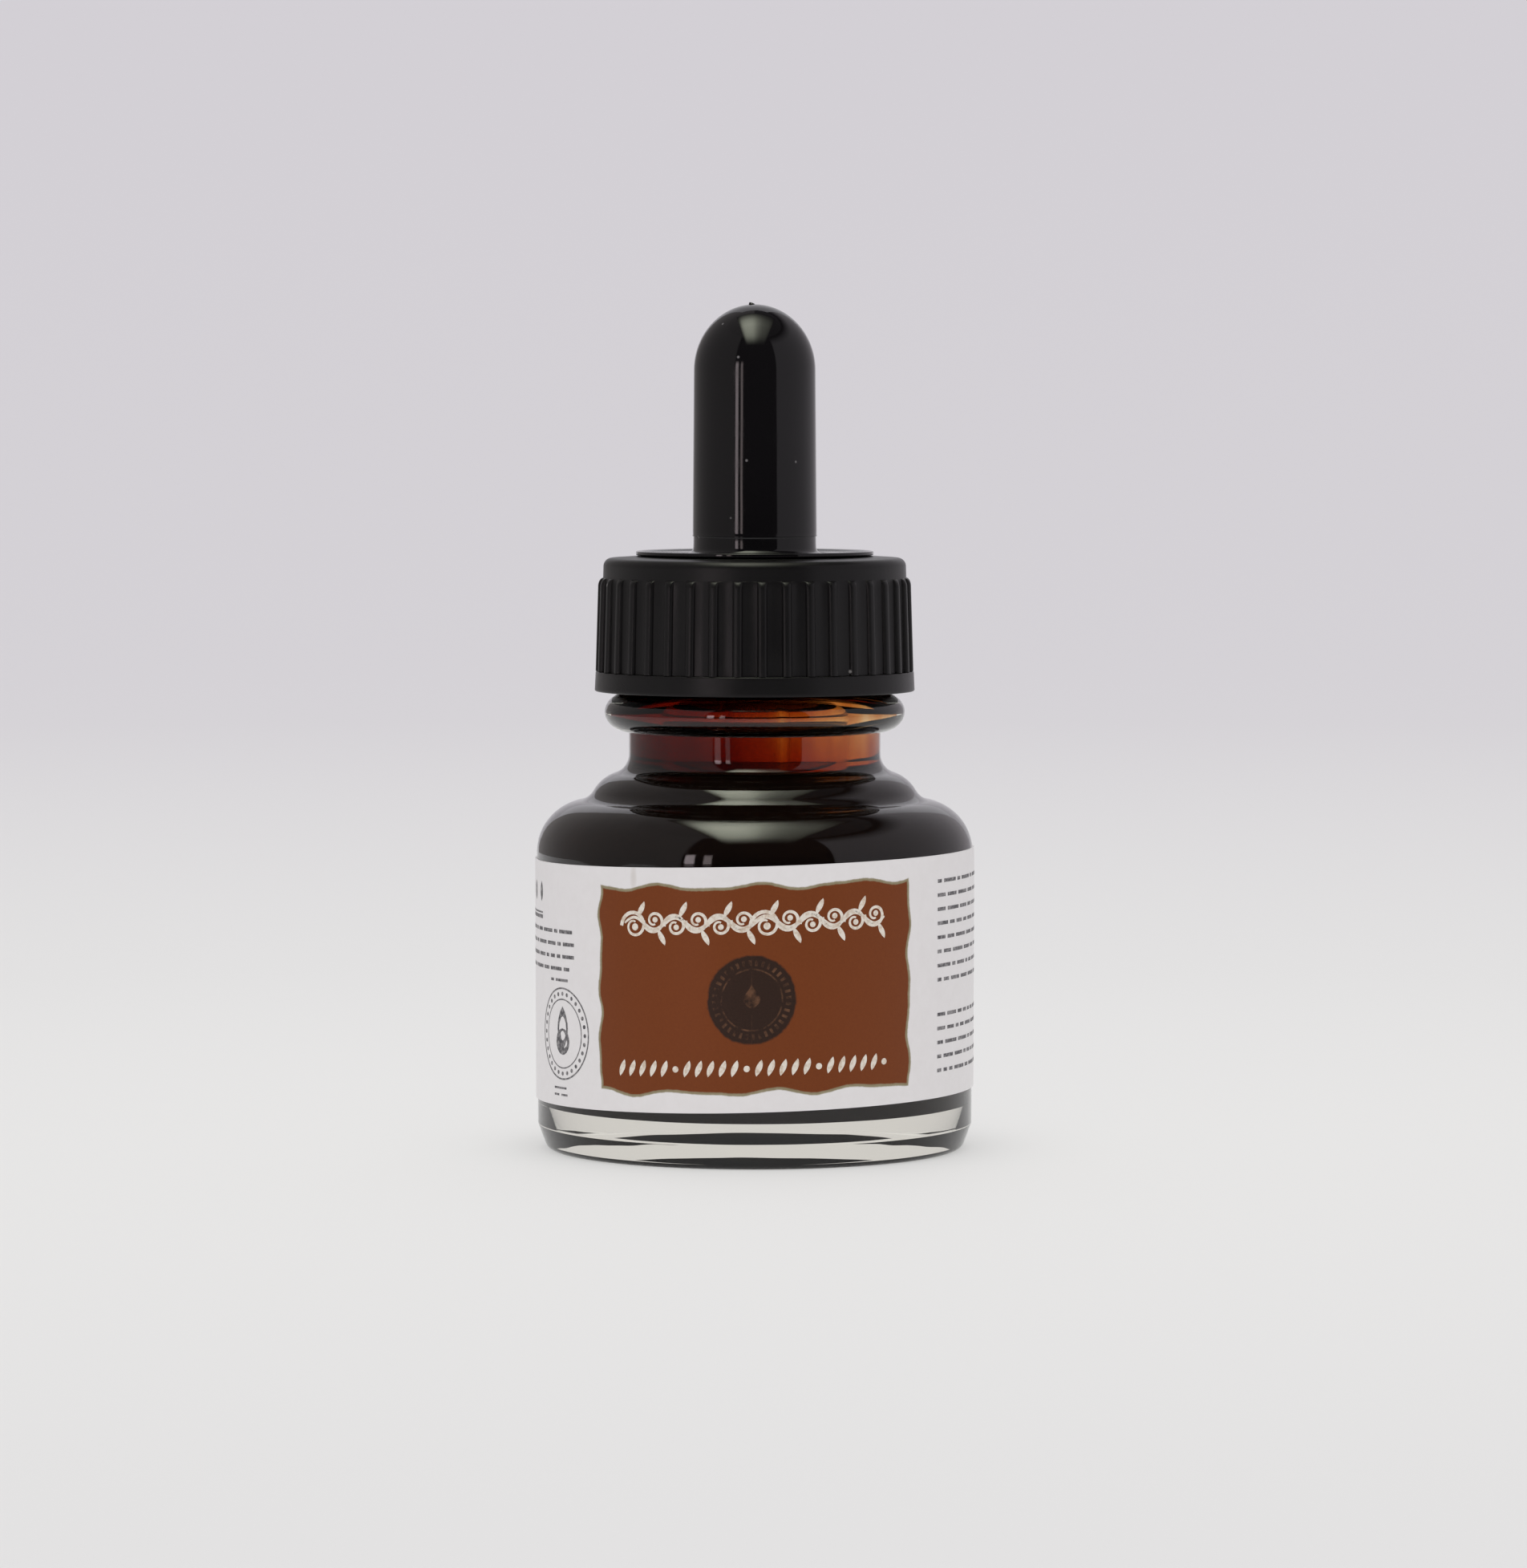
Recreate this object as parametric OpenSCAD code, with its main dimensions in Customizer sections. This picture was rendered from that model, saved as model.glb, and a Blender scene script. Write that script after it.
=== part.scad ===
// Ink bottle with a screw cap and a glass dropper.
// Millimetres, +Z up. The origin is the centre of the foot ring, on the plane the bottle stands on.
// Every turned piece is the revolve of one outline of [radius, height] points.

/* [Glass body] */
// Outside diameter of the body where the shoulder begins
body_d = 41.7; // [34:0.1:51]
// How much slimmer the radius is at the foot than at the shoulder
body_draft = 0.06; // [0:0.02:0.6]
// Height at which the straight wall turns into the shoulder
body_h = 28.4; // [22:0.1:36]
// Height of the heel, where the wall turns in towards the foot
heel_h = 2.6; // [1.8:0.1:4]
// How far the heel leans in from upright
heel_lean = 20; // [5:1:30]
// Radius of the heel's upper edge
heel_round = 0.8; // [0.3:0.1:2]
// Radius of the heel's lower edge
foot_round = 0.9; // [0.3:0.1:1.6]
// Width of the flat ring the bottle stands on
foot_w = 2.1; // [1:0.1:3]
// Height of the domed hollow under the floor
punt_h = 2.2; // [0.4:0.1:2.6]
// Glass thickness of the body wall
wall_t = 1.9; // [1.4:0.1:2.6]
// Glass thickness of the floor, measured from the foot plane
floor_t = 4.1; // [3.6:0.1:7]
// Radius of the round corner between the floor and the wall inside
floor_round = 3.0; // [1.5:0.1:5]

/* [Shoulder and neck] */
// Radius of the shoulder
shoulder_round = 5.0; // [3.5:0.1:6.5]
// Outside diameter where the collar above the shoulder is steepest
collar_d = 30.84; // [29:0.02:33]
// Radius of the collar's round top
collar_round = 3.75; // [3:0.05:4.5]
// How far the collar leans in where it is steepest
collar_lean = 30; // [20:1:38]
// Radius of the crease between shoulder and collar
crease_round = 2.0; // [1:0.1:2.6]
// Slope of the cavity's ceiling, down and outward
ceiling_slope = 30; // [20:1:32]
// Glass that the ceiling leaves under the crease, which flattens its slope on a wider body
crease_wall = 1.4; // [1:0.1:1.6]
// Radius where the cavity's ceiling turns up into the bore
throat_round = 2.0; // [1.5:0.1:3]
// Outside diameter of the neck
neck_d = 24.06; // [20:0.1:28]
// Radius of the hollow curve between collar and neck
neck_fillet = 1.9; // [1.2:0.1:2.4]
// Height of the straight neck under the bead
neck_h = 2.13; // [1.2:0.01:5]
// How far the bead stands out from the neck
bead_proud = 2.32; // [1:0.02:3]
// Height of the bead
bead_h = 3.8; // [2.4:0.1:4.6]

/* [Screw finish] */
// Diameter of the bore through neck and finish
bore_d = 18; // [15:0.1:20]
// Diameter of the finish at the thread's root
finish_d = 23.9; // [20:0.1:29]
// Height of the finish, from bead to lip
finish_h = 10.1; // [8:0.1:13]
// Radius of the lip's outer edge
lip_round = 0.8; // [0.4:0.1:1.2]
// Rise of the thread in one turn
thread_pitch = 3.2; // [2.7:0.1:4]
// Turns of thread on the glass
thread_turns = 1.25; // [1:0.05:1.4]
// Height of the thread above its root
thread_depth = 0.9; // [0.6:0.05:1.1]
// Width of the thread at its root
thread_w = 1.4; // [1:0.05:1.5]
// Depth of the thread's top turn below the lip
thread_start = 2.2; // [1.5:0.1:3]

/* [Cap] */
// Gap between the thread's crest and the cap's wall
thread_gap = 0.4; // [0.2:0.05:0.6]
// Wall of the cap at its top edge
cap_wall = 1.2; // [0.9:0.05:2]
// How much wider the cap's outside is at its skirt
cap_draft = 0.3; // [0:0.05:0.6]
// Thickness of the cap's top plate
plate_t = 1.4; // [1:0.1:2]
// Radius of the cap's top edge
cap_round = 0.8; // [0.3:0.1:1.1]
// Rise of the top plate from its edge to its hole
plate_rise = 0.2; // [0:0.05:0.4]
// Diameter of the hole that holds the bulb
hole_d = 20.8; // [17:0.1:23]
// Height of the plain band at the skirt
band_h = 1.9; // [1:0.1:3]
// How far the band stands out from the cap's wall
band_proud = 0.46; // [0.2:0.02:0.9]
// Number of grip ribs
rib_count = 40; // [24:1:48]
// Width of a rib
rib_w = 0.78; // [0.4:0.02:1]
// How far a rib stands out from the cap's wall
rib_proud = 0.46; // [0.2:0.02:0.8]
// Plain height above the ribs
rib_top_gap = 2.1; // [1.2:0.1:4]

/* [Rubber bulb] */
// Outside diameter of the bulb at its foot
bulb_d = 11.86; // [10:0.02:14]
// How much slimmer the radius is at the dome
bulb_draft = 0.12; // [0:0.02:0.4]
// Height from the bulb's upper flange to the top of its dome
bulb_h = 23.9; // [18:0.1:30]
// Height of the dome, which is a little longer than a half ball
dome_h = 6.3; // [5:0.1:8]
// Wall of the bulb
bulb_wall = 1.2; // [0.9:0.05:1.8]
// Overlap of the upper flange on the cap
flange_lap = 0.95; // [0.5:0.05:1.4]
// Thickness of the upper flange at its rim
flange_t = 0.4; // [0.3:0.05:0.8]
// Height of the mould line above the upper flange
seam_h = 1.45; // [0.8:0.05:3]

/* [Pipette] */
// Outside diameter of the glass tube
pipette_d = 7; // [5.6:0.1:8.4]
// Wall of the glass tube
pipette_wall = 1.0; // [0.7:0.05:1.4]
// Outside diameter of the tip
tip_d = 3; // [2.4:0.1:4]
// Bore of the tip
tip_bore = 1.3; // [0.8:0.1:1.6]
// Length of the taper at the tip
taper_l = 10; // [6:0.5:16]
// Height of the tip above the bottle's floor
tip_gap = 2.4; // [1:0.1:5]
// Length of tube that the bulb grips
grip_l = 5; // [3:0.1:8]

/* [Ink and label] */
// Height of the ink's surface above the foot plane
ink_level = 35.5; // [20:0.1:38]
// Height of the label's lower edge at the front
label_z = 5.5; // [4:0.1:9]
// Width of the label, up the wall
label_w = 22.9; // [14:0.1:23]
// Thickness of the label paper
label_t = 0.16; // [0.06:0.02:0.3]
// Gap between the label's two ends, at the back
label_gap = 3; // [1:0.5:12]
// Tilt of the label as it was stuck on
label_skew = 1.5; // [0:0.1:2]

/* [Hidden] */
$fn = 128;

// Clearances between pieces that move on each other
swivel_gap = 0.2;   // bulb groove to the hole's edge
slip_gap = 0.05;    // flat faces that turn or lift on each other
ink_gap = 0.25;     // ink to the pipette that slides through it
bleed = 0.3;        // how far a thread's root is buried in its wall

// Body, shoulder and neck, from the foot up
body_r = body_d / 2;
foot_r = body_r - body_draft;
ring_r = foot_r - heel_round
    + (heel_round - foot_round - (heel_h - foot_round) * sin(heel_lean)) / cos(heel_lean);
ring_in_r = ring_r - foot_w;
shoulder_r = body_r - shoulder_round;
collar_r = collar_d / 2;
crease_r = collar_r + crease_round * cos(collar_lean);
crease_z = body_h + sqrt(pow(shoulder_round + crease_round, 2) - pow(crease_r - shoulder_r, 2));
crease_turn = atan2(crease_z - body_h, crease_r - shoulder_r);
hump_r = collar_r - collar_round * cos(collar_lean);
hump_z = crease_z - (collar_round + crease_round) * sin(collar_lean);
neck_r = neck_d / 2;
fillet_r = neck_r + neck_fillet;
fillet_z = hump_z + sqrt(pow(collar_round + neck_fillet, 2) - pow(fillet_r - hump_r, 2));
fillet_turn = atan2(fillet_z - hump_z, fillet_r - hump_r);
bead_z = fillet_z + neck_h + bead_h / 2;
finish_z = bead_z + bead_h / 2;
finish_r = finish_d / 2;
lip_z = finish_z + finish_h;
bore_r = min(bore_d / 2, finish_r - 1.5, neck_r - 1.2);
bore_edge = 0.5;
lip_edge = min(lip_round, finish_r - bore_r - bore_edge - 0.1);

// Cavity: its ceiling is the line that touches the shoulder's inside, clears the crease and meets the throat
cavity_r = body_r - wall_t;
cavity_foot_r = foot_r - wall_t;
ceiling_round = shoulder_round - wall_t;
crease_clear = acos((ceiling_round + crease_round + min(crease_wall, wall_t))
    / (shoulder_round + crease_round));
ceiling_normal = max(90 - ceiling_slope, crease_turn - crease_clear);
ceiling_end = [shoulder_r, body_h] + ceiling_round * [cos(ceiling_normal), sin(ceiling_normal)];
throat_r = bore_r + throat_round;
throat_start_r = throat_r - throat_round * cos(ceiling_normal);
throat_z = ceiling_end[1] + (ceiling_end[0] - throat_start_r) * tan(90 - ceiling_normal)
    + throat_round * sin(ceiling_normal);

// Thread: the cap's thread hangs under the glass thread and draws the cap down
crest_r = finish_r + thread_depth;
thread_top = lip_z - thread_start;
turns = min(thread_turns, (finish_h - thread_start - 3) / thread_pitch);
thread_low = thread_top - turns * thread_pitch;
cap_thread_w = min(1.3, thread_pitch - thread_w - 0.3);
cap_thread_drop = (thread_w + cap_thread_w) / 2 + 0.1;

// Cap, from its skirt up
cap_in_r = crest_r + thread_gap;
cap_r = cap_in_r + cap_wall;
cap_crest_r = finish_r + 0.25;
cap_z = finish_z + 0.1;
flange_low_t = 1.4;
plate_z = lip_z + flange_low_t + 2 * slip_gap;
cap_top = plate_z + plate_t;
band_z = cap_z + band_h;
skirt_r = cap_r + cap_draft;
band_r = skirt_r + band_proud;
rib_top = cap_top - rib_top_gap;
rib_phase = 2.85 - 90;
hole_r = min(hole_d / 2, cap_r - cap_round - flange_lap - 0.4);

// Bulb, upward from the flange that seals the lip
groove_r = hole_r - swivel_gap;
flange_r = hole_r + flange_lap;
flange_low_r = cap_in_r - 0.35;
flange_z = cap_top + slip_gap;
flange_top = flange_z + flange_t;
bulb_r = bulb_d / 2;
dome_r = bulb_r - bulb_draft;
bulb_top = flange_z + bulb_h;
dome_z = bulb_top - dome_h;
seam_z = flange_top + seam_h;
tube_r = pipette_d / 2;
tube_in_r = tube_r - pipette_wall;
bulb_in_r = max(bulb_r - bulb_wall, tube_r + 0.3);
grip_top = lip_z + slip_gap + grip_l;
tube_top = grip_top + 2.4;
tip_z = floor_t + tip_gap;
column_z = min(ink_level, lip_z);

// Label: it ends where the shoulder begins to turn in
paper_w = min(label_w, body_h + 0.3 - label_z);

// Points along an arc from angle a to angle b
function arc(centre, r, a, b, steps = 10) =
    [for (i = [0:steps]) let (t = a + (b - a) * i / steps) centre + r * [cos(t), sin(t)]];

// Points along an arc of an ellipse centred on the axis
function dome(z, r, h, a, b, steps) =
    [for (i = [0:steps]) let (t = a + (b - a) * i / steps) [r * cos(t), z + h * sin(t)]];

// Points along half an ellipse that stands out from radius r
function bulge(r, z, out, high, steps = 18) =
    [for (i = [0:steps]) let (t = -90 + 180 * i / steps) [r + out * cos(t), z + high * sin(t)]];

// Outside of the glass, from the middle of the punt to the lip
function glass_outside() = concat(
    [for (i = [0:20]) [ring_in_r * i / 20, punt_h * (1 - pow(i / 20, 2))]],
    arc([ring_r, foot_round], foot_round, -90, -heel_lean, 7),
    arc([foot_r - heel_round, heel_h], heel_round, -heel_lean, 0, 3),
    arc([shoulder_r, body_h], shoulder_round, 0, crease_turn, 16),
    arc([crease_r, crease_z], crease_round, 180 + crease_turn - 4, 182 + collar_lean, 8),
    arc([hump_r, hump_z], collar_round, collar_lean, fillet_turn, 9),
    arc([fillet_r, fillet_z], neck_fillet, 180 + fillet_turn - 4, 180, 9),
    bulge(neck_r, bead_z, bead_proud, bead_h / 2),
    [[finish_r, finish_z + 0.15]],
    arc([finish_r - lip_edge, lip_z - lip_edge], lip_edge, 0, 90, 6)
);

// Cavity, from the lip's inner edge down to the middle of the floor
function glass_inside() = concat(
    arc([bore_r + bore_edge, lip_z - bore_edge], bore_edge, 90, 180, 5),
    arc([throat_r, throat_z], throat_round, 180, 180 + ceiling_normal, 10),
    arc([shoulder_r, body_h], ceiling_round, ceiling_normal, 0, 12),
    arc([cavity_foot_r - floor_round, floor_t + floor_round], floor_round, 0, -90, 9),
    [[0, floor_t]]
);

// A thread: a ridge with sloping flanks on a right-hand helix, which fades in and out of its wall.
// side is 1 for a thread that stands out from its wall and -1 for one that stands in.
module thread(root, depth, side, width) {
    steps = ceil(turns * 48);
    fade = 5;
    crest = width - 0.5;
    ring = [for (i = [0:steps])
        let (a = 360 * turns * i / steps - 90,
             z = thread_low + thread_pitch * turns * i / steps,
             h = min(1, i / fade, (steps - i) / fade),
             out = root + side * ((depth + 0.1) * h - 0.1),
             inside = root - side * bleed,
             section = [[inside, -width / 2], [out, -crest / 2], [out, crest / 2], [inside, width / 2]])
        for (p = section) [p[0] * cos(a), p[0] * sin(a), z + p[1]]];
    sides = [for (i = [0:steps - 1], k = [0:3])
        let (n = (k + 1) % 4) [4 * i + k, 4 * i + n, 4 * i + 4 + n, 4 * i + 4 + k]];
    last = 4 * steps;
    ends = [[3, 2, 1, 0], [last, last + 1, last + 2, last + 3]];
    faces = concat(sides, ends);
    polyhedron(ring, side < 0 ? [for (f = faces) [f[3], f[2], f[1], f[0]]] : faces);
}

// Clear glass bottle: thick floor, round shoulder, stepped collar, bead and screw finish
module glass_bottle() {
    color([0.86, 0.90, 0.88, 0.35]) {
        rotate_extrude() polygon(concat(glass_outside(), glass_inside()));
        thread(finish_r, thread_depth, 1, thread_w);
    }
}

// The ink, which fills the cavity up to its level and parts round the pipette
module ink() {
    color([0.13, 0.05, 0.03]) difference() {
        intersection() {
            rotate_extrude() polygon(concat([[0, lip_z]], glass_inside()));
            cylinder(h = ink_level, r = body_r);
        }
        translate([0, 0, tip_z - ink_gap]) cylinder(h = lip_z, r = tube_r + ink_gap);
    }
}

// Paper label, wrapped round the wall a little out of level, with a gap at the back
module label() {
    open = label_gap / body_r * 180 / PI;
    lean = body_draft / (body_h - heel_h);
    reach = 2;
    low = label_z - reach;
    high = label_z + paper_w + reach;
    paper = [for (z = [low, high]) body_r - (body_h - z) * lean];
    color([0.93, 0.92, 0.90]) intersection() {
        rotate([0, 0, 90 + open / 2]) rotate_extrude(angle = 360 - open)
            polygon([[paper[0], low], [paper[0] + label_t, low], [paper[1] + label_t, high], [paper[1], high]]);
        translate([0, 0, label_z + paper_w / 2]) rotate([0, -label_skew, 0])
            cube([3 * body_r, 3 * body_r, paper_w], center = true);
    }
}

// Black moulded cap: plate with a hole, drafted wall, band at the skirt
function cap_outline() = concat(
    [[hole_r, plate_z], [hole_r, cap_top], [flange_r + 0.3, cap_top]],
    arc([cap_r - cap_round, cap_top - plate_rise - cap_round], cap_round, 90, 0, 7),
    [[skirt_r, band_z], [band_r - 0.2, band_z], [band_r, band_z - 0.15], [band_r + 0.08, cap_z + 0.12],
     [band_r - 0.04, cap_z], [cap_in_r + 0.3, cap_z], [cap_in_r, cap_z + 0.4], [cap_in_r, plate_z]]
);

// The ribs' outer envelope: it leans with the draft and rounds off at the top
function rib_envelope() = concat(
    [[cap_r - 0.4, band_z - 0.3], [skirt_r + rib_proud, band_z - 0.3]],
    arc([cap_r + rib_proud - rib_w, rib_top - rib_w], rib_w, 10, 90, 6),
    [[cap_r - 0.4, rib_top]]
);

module cap_ribs() {
    intersection() {
        translate([0, 0, band_z - 1]) linear_extrude(cap_top - band_z)
            for (i = [0:rib_count - 1]) rotate(rib_phase + i * 360 / rib_count) {
                translate([cap_r - 0.6, -rib_w / 2]) square([skirt_r + rib_proud - rib_w / 2 - cap_r + 0.6, rib_w]);
                translate([skirt_r + rib_proud - rib_w / 2, 0]) circle(d = rib_w);
            }
        rotate_extrude() polygon(rib_envelope());
    }
}

module screw_cap() {
    color([0.07, 0.07, 0.07]) {
        rotate_extrude() polygon(cap_outline());
        cap_ribs();
        translate([0, 0, -cap_thread_drop]) thread(cap_in_r, cap_in_r - cap_crest_r, -1, cap_thread_w);
    }
}

// Black rubber bulb: sealing flange under the cap, groove in its hole, dished flange on top, hollow teat
function bulb_outline() = concat(
    [[tube_r, lip_z + slip_gap], [flange_low_r, lip_z + slip_gap], [flange_low_r, plate_z - slip_gap],
     [groove_r, plate_z - slip_gap], [groove_r, flange_z], [flange_r, flange_z],
     [flange_r, flange_top - 0.12], [flange_r - 0.12, flange_top], [flange_r - 0.35, flange_top],
     [flange_r - 0.75, flange_z + flange_t * 0.6], [bulb_r + 0.5, flange_z + flange_t * 0.6]],
    arc([bulb_r + 0.5, flange_top + 0.4], 0.55, 265, 185, 6),
    [[bulb_r - 0.07, seam_z - 0.05], [bulb_r + 0.02, seam_z], [bulb_r, seam_z + 0.12]],
    dome(dome_z, dome_r, dome_h, 0, 90, 20),
    dome(dome_z, bulb_in_r - bulb_draft, dome_h - bulb_wall, 90, 0, 14),
    [[bulb_in_r, grip_top + 1], [tube_r, grip_top]]
);

module rubber_bulb() {
    nub_r = 0.38;
    color([0.05, 0.05, 0.05]) {
        rotate_extrude() polygon(bulb_outline());
        translate([-0.22, 0, bulb_top - 0.3]) cylinder(h = 0.5, r1 = nub_r, r2 = nub_r * 0.6);
    }
}

// Glass tube, flared where the bulb grips it and drawn out to a fine tip
module glass_pipette() {
    flare = min(0.5, bulb_in_r - tube_r - 0.2);
    color([0.88, 0.92, 0.90, 0.35]) rotate_extrude() polygon(concat(
        [[tip_bore / 2, tip_z], [tip_d / 2, tip_z], [tip_d / 2 + 0.15, tip_z + 2], [tube_r, tip_z + taper_l],
         [tube_r, grip_top]],
        bulge(tube_r, grip_top + 1.4, flare, 0.7, 8),
        [[tube_r, tube_top], [tube_in_r, tube_top], [tube_in_r, tip_z + taper_l],
         [tip_bore / 2 + 0.1, tip_z + 2]]
    ));
}

// The ink that stands in the tube
module ink_in_pipette() {
    color([0.13, 0.05, 0.03]) rotate_extrude() polygon([
        [0, tip_z], [tip_bore / 2, tip_z], [tip_bore / 2 + 0.1, tip_z + 2],
        [tube_in_r, tip_z + taper_l], [tube_in_r, column_z], [0, column_z]
    ]);
}

glass_bottle();
ink();
label();
screw_cap();
rubber_bulb();
glass_pipette();
ink_in_pipette();
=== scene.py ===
import math
import random

import bpy
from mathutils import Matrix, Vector


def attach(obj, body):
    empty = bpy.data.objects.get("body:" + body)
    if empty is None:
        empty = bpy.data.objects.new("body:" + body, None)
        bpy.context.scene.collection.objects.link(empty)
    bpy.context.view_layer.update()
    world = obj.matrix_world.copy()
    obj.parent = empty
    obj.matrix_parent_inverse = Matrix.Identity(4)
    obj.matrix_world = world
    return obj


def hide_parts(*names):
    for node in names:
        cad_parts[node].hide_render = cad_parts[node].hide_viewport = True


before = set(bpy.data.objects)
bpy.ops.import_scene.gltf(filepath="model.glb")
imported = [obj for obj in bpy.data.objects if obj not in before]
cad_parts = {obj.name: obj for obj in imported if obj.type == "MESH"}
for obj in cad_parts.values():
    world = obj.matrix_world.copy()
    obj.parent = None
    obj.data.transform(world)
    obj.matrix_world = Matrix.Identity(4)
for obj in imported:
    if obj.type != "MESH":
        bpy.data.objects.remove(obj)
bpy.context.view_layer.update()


# Glass bottle
# Clear pressed glass in one piece: a thick floor with a shallow hollow under it, a round shoulder with a
# raised collar, a neck with a bead, and a screw finish. It stands on the ring round the hollow.

MM = 0.001
BODY_R = 20.85
FOOT_R = 20.79
BODY_TOP = 28.4
FOOT_RING_IN = 17.165
FOOT_ROUND = 0.9
HEEL_Z = 2.6
HEEL_ROUND = 0.8
HEEL_LEAN = 20.0
WALL = 1.9
FLOOR = 4.1
FLOOR_ROUND = 3.0
PUNT = 2.2
SHOULDER = 5.0
SHOULDER_R = BODY_R - SHOULDER
COLLAR_R = 15.42
COLLAR_ROUND = 3.75
COLLAR_LEAN = 30.0
CREASE = 2.0
NECK_R = 12.03
NECK_CURVE = 1.9
BEAD_Z = 41.8
BEAD_OUT = 2.32
BEAD_HALF = 1.9
FINISH_R = 11.95
FINISH_Z = 43.7
LIP_Z = 53.8
LIP_ROUND = 0.8
LIP_IN_ROUND = 0.5
BORE_R = 9.0
THROAT = 2.0
CEILING_SLOPE = 30.0
PITCH = 3.2
THREAD_TURNS = 1.25
THREAD_LOW = 47.6
THREAD_DEPTH = 0.9
THREAD_W = 1.4


def arc(centre_r, centre_z, radius, start, end, steps, high=None):
    """Points along an arc, in degrees; high is the arc's upright radius where it isn't round."""
    if high is None:
        high = radius
    points = []
    for i in range(steps + 1):
        turn = math.radians(start + (end - start) * i / steps)
        points.append((centre_r + radius * math.cos(turn), centre_z + high * math.sin(turn)))
    return points


def line(start, end, steps):
    """Points between two points, with neither of them."""
    points = []
    for i in range(1, steps):
        t = i / steps
        points.append((start[0] + (end[0] - start[0]) * t, start[1] + (end[1] - start[1]) * t))
    return points


def new_piece(name, vertices, faces, crease=40):
    """A smooth-shaded mesh in metres, from vertices in millimetres."""
    mesh = bpy.data.meshes.new(name)
    mesh.from_pydata([(x * MM, y * MM, z * MM) for x, y, z in vertices], [], faces)
    mesh.shade_smooth()
    mesh.set_sharp_from_angle(angle=math.radians(crease))
    mesh.update()
    piece = bpy.data.objects.new(name, mesh)
    bpy.context.scene.collection.objects.link(piece)
    return piece


def turned(name, outline, columns=256, closed=False, shape=None, angles=None, crease=40):
    """A turned piece: an outline of (radius, height) points carried once round the axis."""
    if angles is None:
        angles = [2 * math.pi * k / columns for k in range(columns)]
    vertices = []
    rings = []
    for r, z in outline:
        if r < 1e-6:
            rings.append([len(vertices)])
            vertices.append((0.0, 0.0, z))
            continue
        ring = []
        for a in angles:
            reach = shape(r, z, a) if shape else r
            ring.append(len(vertices))
            vertices.append((reach * math.cos(a), reach * math.sin(a), z))
        rings.append(ring)
    faces = []
    count = len(angles)
    pairs = list(zip(rings, rings[1:]))
    if closed:
        pairs.append((rings[-1], rings[0]))
    for low, high in pairs:
        for k in range(count):
            n = (k + 1) % count
            if len(low) == 1 and len(high) == 1:
                continue
            if len(low) == 1:
                faces.append((low[0], high[n], high[k]))
            elif len(high) == 1:
                faces.append((low[k], low[n], high[0]))
            else:
                faces.append((low[k], low[n], high[n], high[k]))
    return new_piece(name, vertices, faces, crease)


def thread_ridge(z, angle, low, width, depth):
    """Height of a right-hand thread above its root, at a height and an angle from the front."""
    turn = ((angle + math.pi / 2) / (2 * math.pi)) % 1.0
    ridge = 0.0
    while turn <= THREAD_TURNS:
        away = abs(z - low - PITCH * turn)
        flank = min(1.0, max(0.0, (width / 2 - away) / 0.3))
        fade = max(0.0, min(1.0, turn * 9, (THREAD_TURNS - turn) * 9))
        ridge = max(ridge, depth * fade * flank * flank * (3 - 2 * flank))
        turn += 1.0
    return ridge


def angle_to(centre, target):
    """Direction from one point of an outline to another, in degrees."""
    return math.degrees(math.atan2(target[1] - centre[1], target[0] - centre[0]))


def glass_outside():
    """From the hollow's middle over the foot, the wall, the shoulder and the neck to the lip."""
    lean = math.radians(HEEL_LEAN)
    heel_drop = HEEL_Z - FOOT_ROUND
    ring_r = FOOT_R - HEEL_ROUND
    ring_r += (HEEL_ROUND - FOOT_ROUND - heel_drop * math.sin(lean)) / math.cos(lean)
    side = math.radians(COLLAR_LEAN)
    crease_r = COLLAR_R + CREASE * math.cos(side)
    crease_z = BODY_TOP + math.sqrt((SHOULDER + CREASE) ** 2 - (crease_r - SHOULDER_R) ** 2)
    collar_r = COLLAR_R - COLLAR_ROUND * math.cos(side)
    collar_z = crease_z - (COLLAR_ROUND + CREASE) * math.sin(side)
    curve_r = NECK_R + NECK_CURVE
    curve_z = collar_z + math.sqrt((COLLAR_ROUND + NECK_CURVE) ** 2 - (curve_r - collar_r) ** 2)
    shoulder_end = angle_to((SHOULDER_R, BODY_TOP), (crease_r, crease_z))
    collar_end = angle_to((collar_r, collar_z), (curve_r, curve_z))
    points = [(0.0, PUNT)]
    points += [(FOOT_RING_IN * k / 40, PUNT * (1 - (k / 40) ** 2)) for k in range(1, 41)]
    points += line((FOOT_RING_IN, 0.0), (ring_r, 0.0), 4)
    points += arc(ring_r, FOOT_ROUND, FOOT_ROUND, -90, -HEEL_LEAN, 16)
    points += arc(FOOT_R - HEEL_ROUND, HEEL_Z, HEEL_ROUND, -HEEL_LEAN, 0, 6)
    points += line((FOOT_R, HEEL_Z), (BODY_R, BODY_TOP), 40)
    points += arc(SHOULDER_R, BODY_TOP, SHOULDER, 0, shoulder_end, 48)
    points += arc(crease_r, crease_z, CREASE, shoulder_end + 178, 182 + COLLAR_LEAN, 24)
    points += arc(collar_r, collar_z, COLLAR_ROUND, COLLAR_LEAN, collar_end, 24)
    points += arc(curve_r, curve_z, NECK_CURVE, collar_end + 177, 180, 24)
    points += line((NECK_R, curve_z), (NECK_R, BEAD_Z - BEAD_HALF), 8)
    points += arc(NECK_R, BEAD_Z, BEAD_OUT, -90, 90, 48, BEAD_HALF)
    points += line((FINISH_R, FINISH_Z), (FINISH_R, LIP_Z - LIP_ROUND), 90)
    points += arc(FINISH_R - LIP_ROUND, LIP_Z - LIP_ROUND, LIP_ROUND, 0, 90, 12)
    return points


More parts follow.
